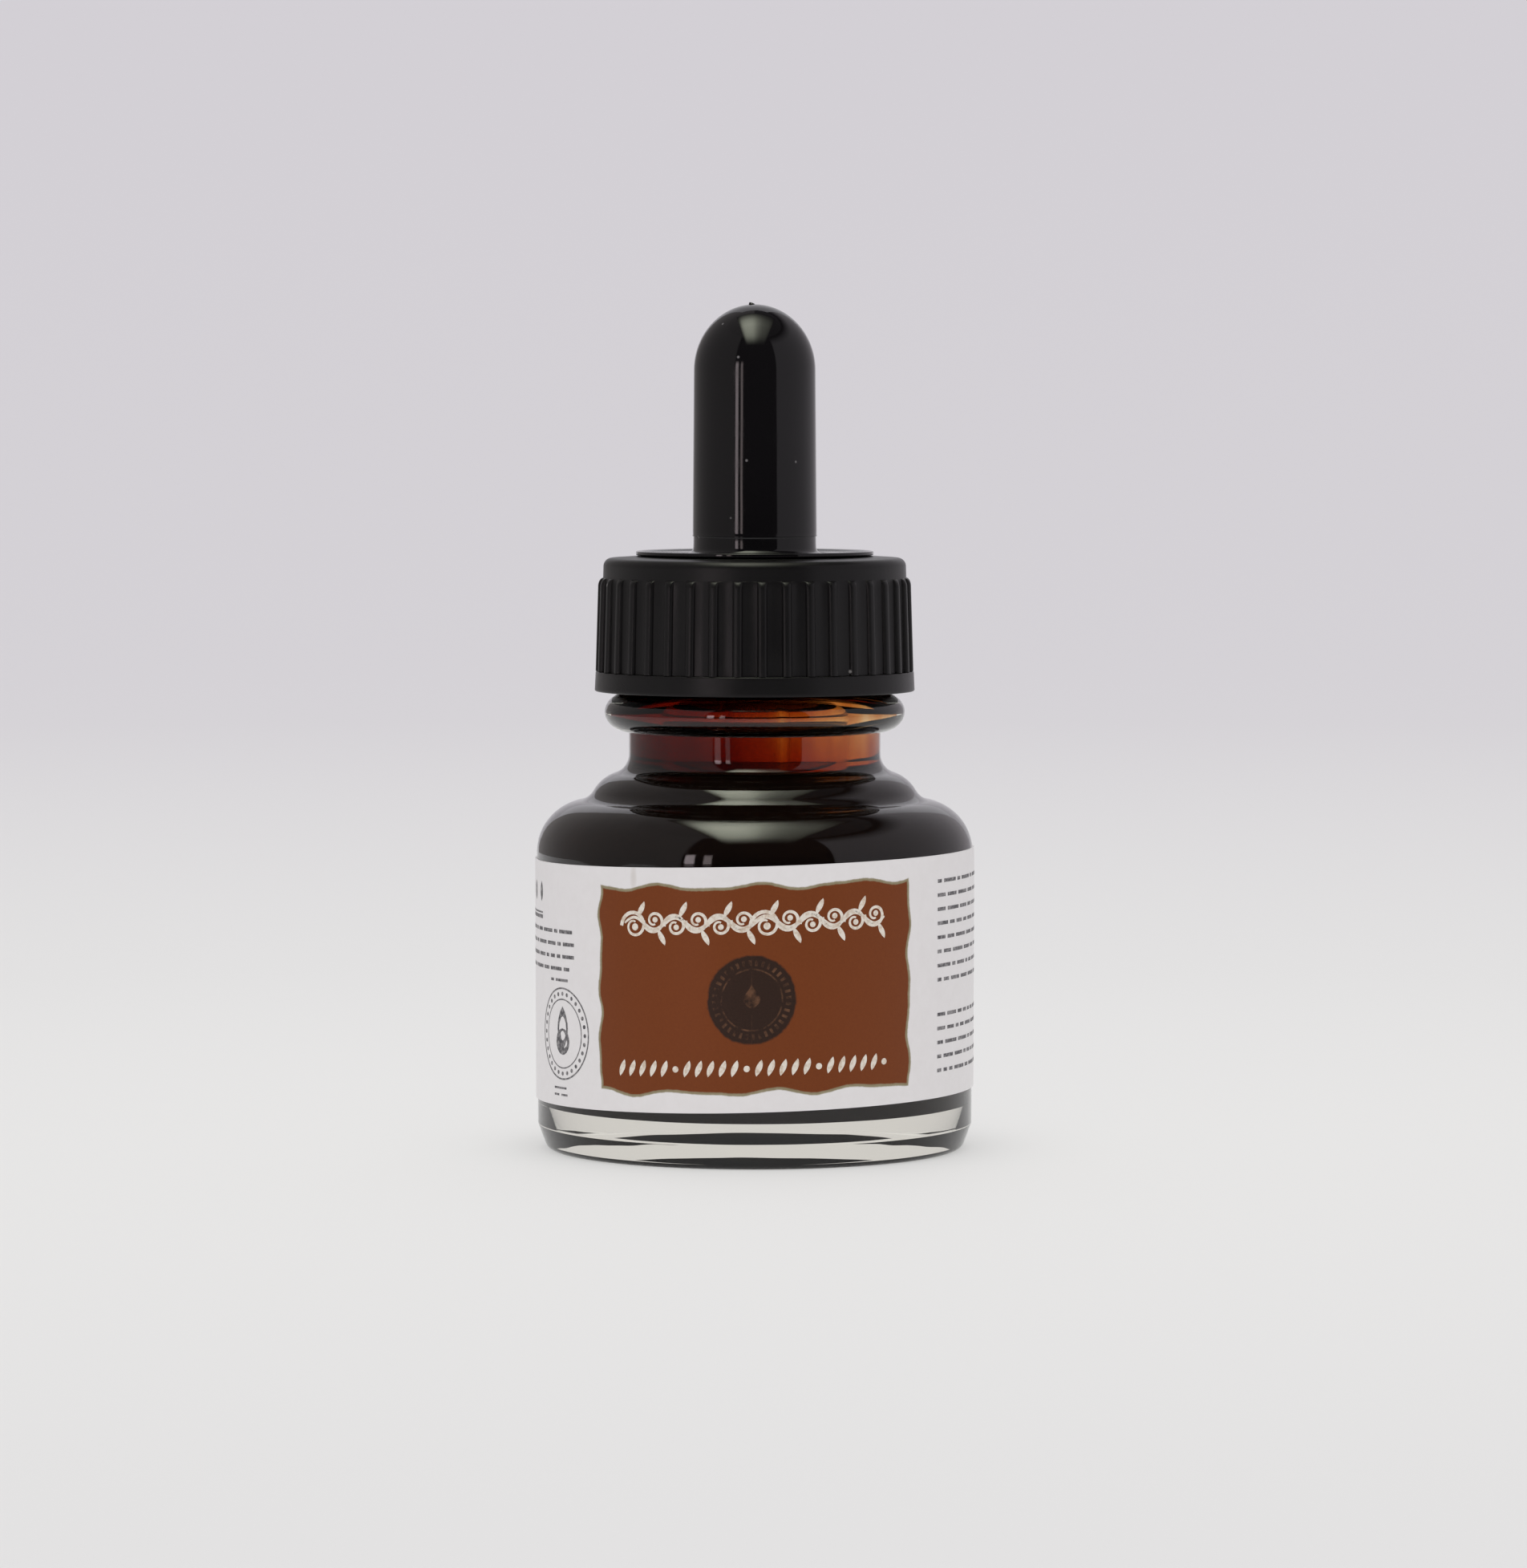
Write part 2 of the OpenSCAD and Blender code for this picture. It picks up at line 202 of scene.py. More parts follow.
def glass_inside(grow=0.0):
    """The cavity from the lip's inner edge down to the floor, pushed out into the glass by grow."""
    edge = LIP_IN_ROUND
    points = arc(BORE_R + edge, LIP_Z - edge, edge - grow, 90, 180, 8)
    slope = math.radians(CEILING_SLOPE)
    end_r = SHOULDER_R + (SHOULDER - WALL) * math.sin(slope)
    end_z = BODY_TOP + (SHOULDER - WALL) * math.cos(slope)
    start_r = BORE_R + THROAT - THROAT * math.sin(slope)
    throat_z = end_z + (end_r - start_r) * math.tan(slope) + THROAT * math.cos(slope)
    points += line((BORE_R + grow, LIP_Z - edge), (BORE_R + grow, throat_z), 30)
    points += arc(BORE_R + THROAT, throat_z, THROAT - grow, 180, 270 - CEILING_SLOPE, 18)
    points += arc(SHOULDER_R, BODY_TOP, SHOULDER - WALL + grow, 90 - CEILING_SLOPE, 0, 20)
    points += line((BODY_R - WALL + grow, BODY_TOP), (FOOT_R - WALL + grow, FLOOR + FLOOR_ROUND), 20)
    points += arc(FOOT_R - WALL - FLOOR_ROUND, FLOOR + FLOOR_ROUND, FLOOR_ROUND + grow, 0, -90, 18)
    points += line((FOOT_R - WALL - FLOOR_ROUND, FLOOR - grow), (0.0, FLOOR - grow), 8)
    points += [(0.0, FLOOR - grow)]
    return points


def finish_shape(r, z, angle):
    """Adds the thread to the outside of the screw finish and nowhere else."""
    if r < FINISH_R - 0.1 or z < FINISH_Z + 1 or z > LIP_Z - LIP_ROUND:
        return r
    return r + thread_ridge(z, angle, THREAD_LOW, THREAD_W, THREAD_DEPTH)


class Finish:
    """A material and its Principled shader, with short ways to add and join nodes."""

    def __init__(self, name, **values):
        self.material = bpy.data.materials.new(name)
        self.material.use_nodes = True
        self.nodes = self.material.node_tree.nodes
        self.links = self.material.node_tree.links
        self.shader = self.nodes["Principled BSDF"]
        for socket, value in values.items():
            self.shader.inputs[socket.replace("_", " ")].default_value = value

    def add(self, kind, **values):
        """Adds a node; its settings and its sockets' values are given by name."""
        node = self.nodes.new(kind)
        for key, value in values.items():
            if hasattr(node, key):
                setattr(node, key, value)
            else:
                node.inputs[key.replace("_", " ")].default_value = value
        return node

    def join(self, output, target):
        self.links.new(output, target)

    def feed(self, socket, output):
        """Joins an output to a socket of the shader."""
        self.links.new(output, self.shader.inputs[socket])

    def place(self, group, **values):
        """Places a node group with its own values."""
        node = self.nodes.new("ShaderNodeGroup")
        node.node_tree = group
        for socket, value in values.items():
            node.inputs[socket.replace("_", " ")].default_value = value
        return node

    def noise(self, **values):
        """A noise that is fixed to the piece."""
        place = self.add("ShaderNodeTexCoord")
        texture = self.add("ShaderNodeTexNoise", **values)
        self.join(place.outputs["Object"], texture.inputs["Vector"])
        return texture.outputs["Fac"]

    def tones(self, share, stops):
        """Colours along a share, from stops of (share, colour)."""
        ramp = self.add("ShaderNodeValToRGB")
        elements = ramp.color_ramp.elements
        for element, (position, colour) in zip(elements, (stops[0], stops[-1])):
            element.position = position
            element.color = (*colour, 1)
        for position, colour in stops[1:-1]:
            elements.new(position).color = (*colour, 1)
        self.join(share, ramp.inputs["Fac"])
        return ramp.outputs["Color"]

    def spread(self, value, low, high, to_low, to_high):
        """Carries one range of a value over to another range."""
        node = self.add("ShaderNodeMapRange")
        for socket, number in zip(("From Min", "From Max", "To Min", "To Max"), (low, high, to_low, to_high)):
            node.inputs[socket].default_value = number
        self.join(value, node.inputs["Value"])
        return node.outputs["Result"]

    def sum(self, operation, first, second=0.0, third=None, clamp=False):
        """A piece of arithmetic on outputs and plain numbers."""
        node = self.nodes.new("ShaderNodeMath")
        node.operation = operation
        node.use_clamp = clamp
        for k, value in enumerate((first, second, third)):
            if value is None:
                continue
            if isinstance(value, (int, float)):
                node.inputs[k].default_value = value
            else:
                self.join(value, node.inputs[k])
        return node.outputs["Value"]

    def inside(self, distance, edge=0.06):
        """1 where the distance is below zero, with an edge that is soft over its own units."""
        return self.sum("MULTIPLY_ADD", distance, -1 / edge, 0.5, clamp=True)

    def near(self, value, middle, half, edge):
        """1 within half of a middle value."""
        away = self.sum("ABSOLUTE", self.sum("SUBTRACT", value, middle))
        return self.inside(self.sum("SUBTRACT", away, half), edge)

    def tint(self, mask, under, over):
        """One colour laid over another by a mask."""
        mix = self.nodes.new("ShaderNodeMix")
        mix.data_type = "RGBA"
        self.join(mask, mix.inputs["Factor"])
        for key, value in (("A", under), ("B", over)):
            socket = [s for s in mix.inputs if s.name == key and s.type == "RGBA"][0]
            if isinstance(value, tuple):
                socket.default_value = value
            else:
                self.join(value, socket)
        return [s for s in mix.outputs if s.type == "RGBA"][0]

    def relief(self, height, strength, distance):
        """Feeds a height to the shader's normal through a bump."""
        bump = self.add("ShaderNodeBump", Strength=strength, Distance=distance)
        self.join(height, bump.inputs["Height"])
        self.feed("Normal", bump.outputs["Normal"])


def new_group(name, inputs, outputs):
    """An empty shader node group; inputs are (name, default), outputs are (name, kind)."""
    group = bpy.data.node_groups.new(name, "ShaderNodeTree")
    for title, default in inputs:
        socket = group.interface.new_socket(name=title, in_out="INPUT", socket_type="NodeSocketFloat")
        socket.default_value = default
    for title, kind in outputs:
        group.interface.new_socket(name=title, in_out="OUTPUT", socket_type=kind)
    start = group.nodes.new("NodeGroupInput")
    end = group.nodes.new("NodeGroupOutput")
    return group, start, end


def make_glass_waves():
    """Slow waves of pressed glass and faint smears on it."""
    group, start, end = new_group(
        "glass_waves",
        [("Wave Size", 120.0), ("Smear Size", 180.0), ("Smear", 0.04)],
        [("Height", "NodeSocketFloat"), ("Roughness", "NodeSocketFloat")],
    )
    place = group.nodes.new("ShaderNodeTexCoord")
    wave = group.nodes.new("ShaderNodeTexNoise")
    wave.inputs["Detail"].default_value = 1.0
    smear = group.nodes.new("ShaderNodeTexNoise")
    smear.inputs["Detail"].default_value = 4.0
    smear.inputs["Distortion"].default_value = 1.2
    ramp = group.nodes.new("ShaderNodeMapRange")
    ramp.inputs["From Min"].default_value = 0.52
    ramp.inputs["From Max"].default_value = 0.85
    for output, target in (
        (place.outputs["Object"], wave.inputs["Vector"]),
        (place.outputs["Object"], smear.inputs["Vector"]),
        (start.outputs["Wave Size"], wave.inputs["Scale"]),
        (start.outputs["Smear Size"], smear.inputs["Scale"]),
        (smear.outputs["Fac"], ramp.inputs["Value"]),
        (start.outputs["Smear"], ramp.inputs["To Max"]),
        (wave.outputs["Fac"], end.inputs["Height"]),
        (ramp.outputs["Result"], end.inputs["Roughness"]),
    ):
        group.links.new(output, target)
    return group


glass_waves = make_glass_waves()


def clear_glass(name, colour, wave_size, smear_size, smear, strength, distance):
    """Smooth glass with slow waves, strength and distance being those of the waves' relief."""
    glass = Finish(name, Base_Color=colour, IOR=1.5, Transmission_Weight=1.0, Roughness=0.0)
    waves = glass.place(glass_waves, Wave_Size=wave_size, Smear_Size=smear_size, Smear=smear)
    glass.feed("Roughness", waves.outputs["Roughness"])
    glass.relief(waves.outputs["Height"], strength, distance)
    return glass


bottle_glass = clear_glass("bottle_glass", (0.985, 0.985, 0.86, 1), 140.0, 260.0, 0.05, 0.12, 0.0006)

bottle = turned("bottle_glass", glass_outside() + glass_inside(), 320, shape=finish_shape)
bottle.data.materials.append(bottle_glass.material)
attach(bottle, "bottle")
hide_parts("glass_bottle")


# Ink
# Dark sienna drawing ink, nearly black in the bulk. It wets the cavity's wall, so it is drawn a hair into
# the glass, and its free surface curls up at the throat.

INK_LEVEL = 35.5
WETTED = 0.04
CURL = 0.35
CURL_STEP = 0.11


def ink_outline():
    """The wetted wall from the floor up, then the surface in to the axis."""
    wall = []
    for r, z in glass_inside(WETTED):
        if z < INK_LEVEL:
            wall.append((r, z))
    wall.reverse()
    edge_r = wall[-1][0]
    surface = [(edge_r - 0.01, INK_LEVEL + CURL)]
    for k in range(1, 13):
        drop = math.exp(-k * 0.45)
        surface.append((edge_r - CURL_STEP * k, INK_LEVEL + CURL * drop))
    flat_r = edge_r - CURL_STEP * 12
    for k in range(1, 9):
        surface.append((flat_r * (1 - k / 8), INK_LEVEL))
    return wall + surface


ink_bulk = Finish("ink_bulk", Base_Color=(0.010, 0.006, 0.004, 1), Roughness=0.6, Specular_IOR_Level=0.0)
ink_cloud = ink_bulk.noise(Scale=90.0, Detail=3.0)
ink_tone = ink_bulk.tones(ink_cloud, ((0.0, (0.004, 0.0025, 0.002)), (1.0, (0.016, 0.008, 0.005))))
ink_bulk.feed("Base Color", ink_tone)

ink_surface = Finish("ink_surface", Base_Color=(0.02, 0.008, 0.004, 1), Roughness=0.03, IOR=1.36)
ripple = ink_surface.add("ShaderNodeTexNoise", Scale=160.0, Detail=1.0)
ink_surface.relief(ripple.outputs["Fac"], 0.05, 0.0003)

ink = turned("ink", ink_outline(), 192)
ink.data.materials.append(ink_bulk.material)
ink.data.materials.append(ink_surface.material)
for face in ink.data.polygons:
    if face.center.z > (INK_LEVEL - 0.02) * MM:
        face.material_index = 1
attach(ink, "bottle")
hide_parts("ink")


# Ink film
# The film that the ink leaves on the wetted bore, from its surface to the lip: amber where it is thin and
# nearly black where it has run down. It is drawn just under the glass's surface, so it bends no light.

FILM_IN = 0.05
FILM_OUT = 0.08
FILM_LOW = INK_LEVEL - 0.3
FILM_HIGH = LIP_Z - 0.7
FILM_THIN_UP = 85.0
FILM_THIN_RIGHT = 65.0
FILM_START = 0.039
FILM_START_DEPTH = 0.60
FILM_RUNS = 0.7
FILM_STRETCH = (260.0, 260.0, 70.0)


def film_outline():
    """A closed outline between two skins of the bore, from the ink's surface to the lip."""
    outside = [(r, z) for r, z in glass_inside(FILM_OUT) if FILM_LOW < z < FILM_HIGH]
    inside = [(r, z) for r, z in glass_inside(FILM_IN) if FILM_LOW < z < FILM_HIGH]
    outside.reverse()
    return outside + inside


# The film thins upwards and to the right, and a noise drawn out downwards makes its runs
ink_film = Finish(
    "ink_film",
    Base_Color=(0.6, 0.25, 0.1, 1),
    IOR=1.0,
    Transmission_Weight=1.0,
    Roughness=0.0,
)
film_place = ink_film.add("ShaderNodeTexCoord")
film_split = ink_film.add("ShaderNodeSeparateXYZ")
film_runs = ink_film.add("ShaderNodeTexNoise", Scale=1.0, Detail=5.0, Roughness=0.6)
film_stretch = ink_film.add("ShaderNodeMapping")
film_stretch.inputs["Scale"].default_value = FILM_STRETCH
ink_film.join(film_place.outputs["Object"], film_stretch.inputs["Vector"])
ink_film.join(film_stretch.outputs["Vector"], film_runs.inputs["Vector"])
ink_film.join(film_place.outputs["Object"], film_split.inputs["Vector"])
film_base = FILM_START_DEPTH + FILM_THIN_UP * FILM_START
film_depth = ink_film.sum("MULTIPLY_ADD", film_split.outputs["Z"], -FILM_THIN_UP, film_base)
film_depth = ink_film.sum("MULTIPLY_ADD", film_split.outputs["X"], -FILM_THIN_RIGHT, film_depth)
film_depth = ink_film.sum("MULTIPLY_ADD", film_runs.outputs["Fac"], FILM_RUNS, film_depth)
film_tone = ink_film.tones(ink_film.sum("MULTIPLY", film_depth, 0.5), (
    (0.00, (0.93, 0.80, 0.62)),
    (0.12, (0.80, 0.50, 0.26)),
    (0.25, (0.64, 0.28, 0.08)),
    (0.45, (0.44, 0.10, 0.018)),
    (0.70, (0.26, 0.028, 0.004)),
    (1.00, (0.13, 0.006, 0.001)),
))
ink_film.feed("Base Color", film_tone)

film = turned("ink_film", film_outline(), 192, closed=True)
film.data.materials.append(ink_film.material)
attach(film, "bottle")


# Label
# White paper printed in colour, wrapped round the wall and glued at the back, a little out of level. The
# printed panel, its border and the round seal are in the paper's own colour.

LABEL_LOW = 5.5
LABEL_WIDTH = 22.9
LABEL_T = 0.16
LABEL_TILT = math.radians(1.5)
LABEL_GAP = 3.0
LABEL_MIDDLE = LABEL_LOW + LABEL_WIDTH / 2
LABEL_R = BODY_R + LABEL_T
PRINT_SPAN = 140.0


def wall_radius(z):
    """Outside radius of the glass at a height on the straight wall or the start of the shoulder."""
    if z > BODY_TOP:
        return SHOULDER_R + math.sqrt(SHOULDER ** 2 - (z - BODY_TOP) ** 2)
    return BODY_R - (BODY_TOP - z) * (BODY_R - FOOT_R) / (BODY_TOP - HEEL_Z)


def on_label(along, up, lift=LABEL_T):
    """A point of the label, from millimetres along it and up from its middle line."""
    angle = along / LABEL_R
    z = LABEL_MIDDLE + up + LABEL_R * math.sin(angle) * math.tan(LABEL_TILT)
    r = wall_radius(z) + lift
    return (r * math.sin(angle), -r * math.cos(angle), z)


def label_sheet():
    """The sheet as a thin closed shell, with millimetres on it kept as print coordinates."""
    half = math.pi * LABEL_R - LABEL_GAP / 2
    columns = 360
    rows = 24
    vertices = []
    places = []
    for lift in (LABEL_T, 0.0):
        for j in range(rows + 1):
            for i in range(columns + 1):
                along = -half + 2 * half * i / columns
                up = LABEL_WIDTH * (j / rows - 0.5)
                vertices.append(on_label(along, up, lift))
                places.append((0.5 + along / PRINT_SPAN, 0.5 + up / PRINT_SPAN))
    width = columns + 1
    inner = width * (rows + 1)
    faces = []
    for j in range(rows):
        for i in range(columns):
            k = j * width + i
            faces.append((k, k + 1, k + width + 1, k + width))
            faces.append((inner + k, inner + k + width, inner + k + width + 1, inner + k + 1))
    for i in range(columns):
        top = rows * width + i
        faces.append((i, inner + i, inner + i + 1, i + 1))
        faces.append((top, top + 1, inner + top + 1, inner + top))
    for j in range(rows):
        left = j * width
        right = left + columns
        faces.append((left, left + width, inner + left + width, inner + left))
        faces.append((right, inner + right, inner + right + width, right + width))
    sheet = new_piece("label_paper", vertices, faces)
    layer = sheet.data.uv_layers.new(name="print")
    for loop in sheet.data.loops:
        layer.data[loop.index].uv = places[loop.vertex_index]
    return sheet


paper = Finish("label_paper", Roughness=0.34, IOR=1.3)
paper_uv = paper.add("ShaderNodeUVMap", uv_map="print")
paper_split = paper.add("ShaderNodeSeparateXYZ")
paper.join(paper_uv.outputs["UV"], paper_split.inputs["Vector"])
along = paper.sum("MULTIPLY_ADD", paper_split.outputs["X"], PRINT_SPAN, -PRINT_SPAN / 2)
up = paper.sum("MULTIPLY_ADD", paper_split.outputs["Y"], PRINT_SPAN, -PRINT_SPAN / 2)
grain = paper.noise(Scale=5200.0, Detail=3.0)
fibre = paper.noise(Scale=900.0, Detail=5.0, Roughness=0.65)
blot = paper.noise(Scale=240.0, Detail=2.0)

# The panel's four edges are slow waves that flare at the corners
PANEL_HALF_W = 15.75
PANEL_HALF_H = 9.45
PANEL_BORDER = 0.26


def wavy_edge(distance, position, waves):
    """Takes sines of the position, each (size, length, shift), from a distance."""
    sines = []
    for size, length, shift in waves:
        turn = paper.sum("MULTIPLY_ADD", position, 2 * math.pi / length, shift)
        sines.append(paper.sum("MULTIPLY", paper.sum("SINE", turn), size))
    return paper.sum("SUBTRACT", distance, paper.sum("ADD", sines[0], sines[1]))


above = paper.sum("SUBTRACT", up, PANEL_HALF_H)
above = wavy_edge(above, along, ((0.24, 9.4, 1.4), (0.10, 5.3, 0.4)))
below = paper.sum("MULTIPLY_ADD", up, -1.0, -PANEL_HALF_H)
below = wavy_edge(below, along, ((0.22, 8.8, 3.5), (0.12, 5.9, 2.0)))
right = paper.sum("SUBTRACT", along, PANEL_HALF_W)
right = wavy_edge(right, up, ((0.18, 6.9, 2.5), (0.08, 4.1, 0.3)))
left = paper.sum("MULTIPLY_ADD", along, -1.0, -PANEL_HALF_W)
left = wavy_edge(left, up, ((0.16, 6.1, 0.9), (0.10, 3.7, 2.2)))
panel_edge = paper.sum("MAXIMUM", paper.sum("MAXIMUM", above, below), paper.sum("MAXIMUM", right, left))
frayed = paper.sum("MULTIPLY_ADD", fibre, 0.22, -0.11)
panel_edge = paper.sum("ADD", panel_edge, frayed)
border_mask = paper.inside(paper.sum("SUBTRACT", panel_edge, PANEL_BORDER), 0.12)
panel_mask = paper.inside(panel_edge, 0.12)

# The seal is a dark disc with worn rings, a milled rim and a drop in its middle
SEAL_ALONG = -0.25
SEAL_UP = -0.95
SEAL_R = 4.15
SEAL_RING_R = 2.85
SEAL_RIM_R = 3.45
SEAL_NOTCHES = 36.0
DROP_HALF = 1.35


def spot_reach(x, y):
    """Square of the distance from two offsets."""
    return paper.sum("ADD", paper.sum("MULTIPLY", x, x), paper.sum("MULTIPLY", y, y))


seal_x = paper.sum("SUBTRACT", along, SEAL_ALONG)
seal_y = paper.sum("SUBTRACT", up, SEAL_UP)
seal_reach = paper.sum("SQRT", spot_reach(seal_x, seal_y))
seal_turn = paper.sum("ARCTAN2", seal_y, seal_x)
seal_rough = paper.sum("MULTIPLY_ADD", fibre, 0.5, seal_reach)
seal_mask = paper.inside(paper.sum("SUBTRACT", seal_rough, SEAL_R + 0.25), 0.2)
outer_ring = paper.near(seal_reach, SEAL_RING_R, 0.07, 0.08)
notches = paper.sum("SINE", paper.sum("MULTIPLY", seal_turn, SEAL_NOTCHES))
notches = paper.inside(paper.sum("SUBTRACT", 0.25, notches), 0.5)
milled_rim = paper.sum("MULTIPLY", notches, paper.near(seal_reach, SEAL_RIM_R, 0.26, 0.1))
drop_fall = paper.sum("MULTIPLY_ADD", seal_y, -0.4, 0.66, clamp=True)
drop_half = paper.sum("MULTIPLY", paper.sum("SINE", paper.sum("MULTIPLY", drop_fall, math.pi)), drop_fall)
drop_half = paper.sum("MULTIPLY", drop_half, DROP_HALF)
drop_mask = paper.inside(paper.sum("SUBTRACT", paper.sum("ABSOLUTE", seal_x), drop_half), 0.1)
seal_marks = paper.sum("MAXIMUM", paper.sum("MAXIMUM", outer_ring, milled_rim), drop_mask)
seal_wear = paper.sum("MULTIPLY_ADD", fibre, 5.0, -2.1, clamp=True)
seal_marks = paper.sum("MULTIPLY", seal_marks, paper.sum("MULTIPLY", seal_wear, seal_mask))

# A small brown stain runs down over the panel's upper edge
STAIN_ALONG = -11.9
STAIN_UP = 10.5
STAIN_HALF_W = 0.35
STAIN_HALF_H = 1.1
stain_x = paper.sum("DIVIDE", paper.sum("SUBTRACT", along, STAIN_ALONG), STAIN_HALF_W)
stain_y = paper.sum("DIVIDE", paper.sum("SUBTRACT", up, STAIN_UP), STAIN_HALF_H)
stain_mask = paper.sum("MULTIPLY_ADD", spot_reach(stain_x, stain_y), -0.5, 0.75, clamp=True)
stain_patches = paper.sum("MULTIPLY_ADD", blot, 1.2, -0.2, clamp=True)
stain_mask = paper.sum("MULTIPLY", stain_mask, stain_patches)

SIENNA = (0.196, 0.046, 0.007, 1)
SIENNA_DARK = (0.158, 0.035, 0.005, 1)
SEAL_MARK = (0.13, 0.060, 0.030, 1)
STAIN = (0.42, 0.36, 0.28, 1)
white_paper = paper.tint(fibre, (0.79, 0.77, 0.755, 1), (0.86, 0.845, 0.835, 1))
sienna = paper.tint(grain, SIENNA_DARK, SIENNA)
khaki = paper.tint(fibre, (0.22, 0.19, 0.10, 1), (0.36, 0.31, 0.20, 1))
seal_black = paper.tint(grain, (0.022, 0.009, 0.005, 1), (0.038, 0.017, 0.010, 1))
sheet_colour = paper.tint(stain_mask, white_paper, STAIN)
for mask, colour in (
    (border_mask, khaki),
    (panel_mask, sienna),
    (seal_mask, seal_black),
    (seal_marks, SEAL_MARK),
):
    sheet_colour = paper.tint(mask, sheet_colour, colour)
paper.feed("Base Color", sheet_colour)
paper.relief(fibre, 0.10, 0.00008)

label = label_sheet()
label.data.materials.append(paper.material)
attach(label, "bottle")
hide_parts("label")


# Printed ornament
# Cream scroll and leaf border on the panel, and grey rules and a ring with a drop on the white paper. It
# is a layer of printing ink about a hundredth of a millimetre proud of the sheet.

PRINT_LIFT = LABEL_T + 0.012


class Ornament:
    """Collects flat shapes in millimetres along and up the label, and lays them on it as one mesh."""

    def __init__(self):
        self.vertices = []
        self.faces = []

    def face(self, corners):
        area = 0.0
        for (x0, y0), (x1, y1) in zip(corners, corners[1:] + corners[:1]):
            area += x0 * y1 - x1 * y0
        if area < 0:
            corners = corners[::-1]
        start = len(self.vertices)
        for x, y in corners:
            self.vertices.append(on_label(x, y, PRINT_LIFT))
        self.faces.append(tuple(range(start, start + len(corners))))

    def stroke(self, points, widths):
        """A pen stroke along points, with a width at each."""
        sides = []
        for k, (x, y) in enumerate(points):
            back = points[max(0, k - 1)]
            ahead = points[min(len(points) - 1, k + 1)]
            dx = ahead[0] - back[0]
            dy = ahead[1] - back[1]
            length = math.hypot(dx, dy)
            half = widths[k] / 2
            reach_x = dy / length * half
            reach_y = dx / length * half
            sides.append(((x - reach_x, y + reach_y), (x + reach_x, y - reach_y)))
        for (a, b), (c, d) in zip(sides, sides[1:]):
            self.face([a, b, d, c])

    def dot(self, x, y, radius, high=None, lean=0.0, steps=20):
        """A round or oval spot, leaning to the right by lean degrees."""
        high = radius if high is None else high
        slope = math.tan(math.radians(lean))
        corners = []
        for k in range(steps):
            a = 2 * math.pi * k / steps
            rise = high * math.sin(a)
            corners.append((x + radius * math.cos(a) + rise * slope, y + rise))
        self.face(corners)

    def leaf(self, x, y, half, high, lean):
        """A pointed leaf, leaning to the right by lean degrees."""
        slope = math.tan(math.radians(lean))
        left = []
        right = []
        for k in range(9):
            t = k / 8
            rise = high * (2 * t - 1)
            reach = half * math.sin(math.pi * t) ** 0.8
            left.append((x - reach + rise * slope, y + rise))
            right.append((x + reach + rise * slope, y + rise))
        for k in range(8):
            self.face([left[k], right[k], right[k + 1], left[k + 1]])

    def rule(self, start, end, y, thick):
        """A straight rule, in short lengths that follow the curve of the wall."""
        count = max(1, int(abs(end - start) / 0.6))
        for k in range(count):
            x0 = start + (end - start) * k / count
            x1 = start + (end - start) * (k + 1) / count
            low = y - thick / 2
            high = y + thick / 2
            self.face([(x0, low), (x1, low), (x1, high), (x0, high)])

    def ring(self, x, y, radius, thick, steps=72):
        points = []
        for k in range(steps + 1):
            a = 2 * math.pi * k / steps
            points.append((x + radius * math.cos(a), y + radius * math.sin(a)))
        self.stroke(points, [thick] * len(points))

    def piece(self, name):
        return new_piece(name, self.vertices, self.faces)


def vine_scroll(art, start, end, y, period, swing, curl):
    """A running vine: a waving stem with a curl and a berry on each side in turn."""
    stem = []
    widths = []
    steps = 160
    for k in range(steps + 1):
        t = k / steps
        x = start + (end - start) * t
        stem.append((x, y + swing * math.sin(2 * math.pi * (x - start) / period)))
        widths.append(0.16 + 0.24 * math.sin(math.pi * t) ** 0.4)
    art.stroke(stem, widths)
    count = int(round((end - start) / period * 2))
    for k in range(count):
        side = 1 if k % 2 == 0 else -1
        x = start + period * (k / 2 + 0.25)
        grow = 1.25 if k in (0, count // 2) else 1.0
        curl_points = []
        curl_widths = []
        for j in range(33):
            t = j / 32
            a = math.radians(180 + 470 * t)
            reach = curl * grow * (1 - 0.72 * t)
            curl_points.append((x + reach * math.cos(a), y - side * (reach * math.sin(a) + 0.25)))
            curl_widths.append(0.38 - 0.2 * t)
        art.stroke(curl_points, curl_widths)
        art.dot(x + 0.1, y - side * 0.35, 0.27 * grow)
        art.leaf(x + period * 0.18, y + side * (swing + 0.75), 0.3, 0.75, 24 * side)


VINE_HALF = 12.9
VINE_UP = 6.25
BORDER_UP = -7.3
BORDER_LEFT = -13.2
BORDER_STEP = 1.135

cream = Ornament()
vine_scroll(cream, -VINE_HALF, VINE_HALF, VINE_UP, 4.3, 0.55, 1.15)
for k in range(24):
    x = BORDER_LEFT + k * BORDER_STEP
    if k % 6 == 5:
        cream.dot(x, BORDER_UP - 0.05, 0.3)
    else:
        cream.leaf(x, BORDER_UP, 0.30, 0.78, 18)
cream_print = cream.piece("label_cream_ornament")


def printing_ink(name, roughness, grain_size, stops):
    """A mottled printing ink; stops are two (share, colour)."""
    print_ink = Finish(name, Roughness=roughness, IOR=1.45)
    mottle = print_ink.tones(print_ink.noise(Scale=grain_size, Detail=3.0), stops)
    print_ink.feed("Base Color", mottle)
    return print_ink


CREAM_TONES = ((0.3, (0.62, 0.50, 0.38)), (0.55, (0.82, 0.76, 0.66)))
cream_ink = printing_ink("cream_print", 0.45, 2600.0, CREAM_TONES)
cream_print.data.materials.append(cream_ink.material)
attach(cream_print, "bottle")

chance = random.Random(7)


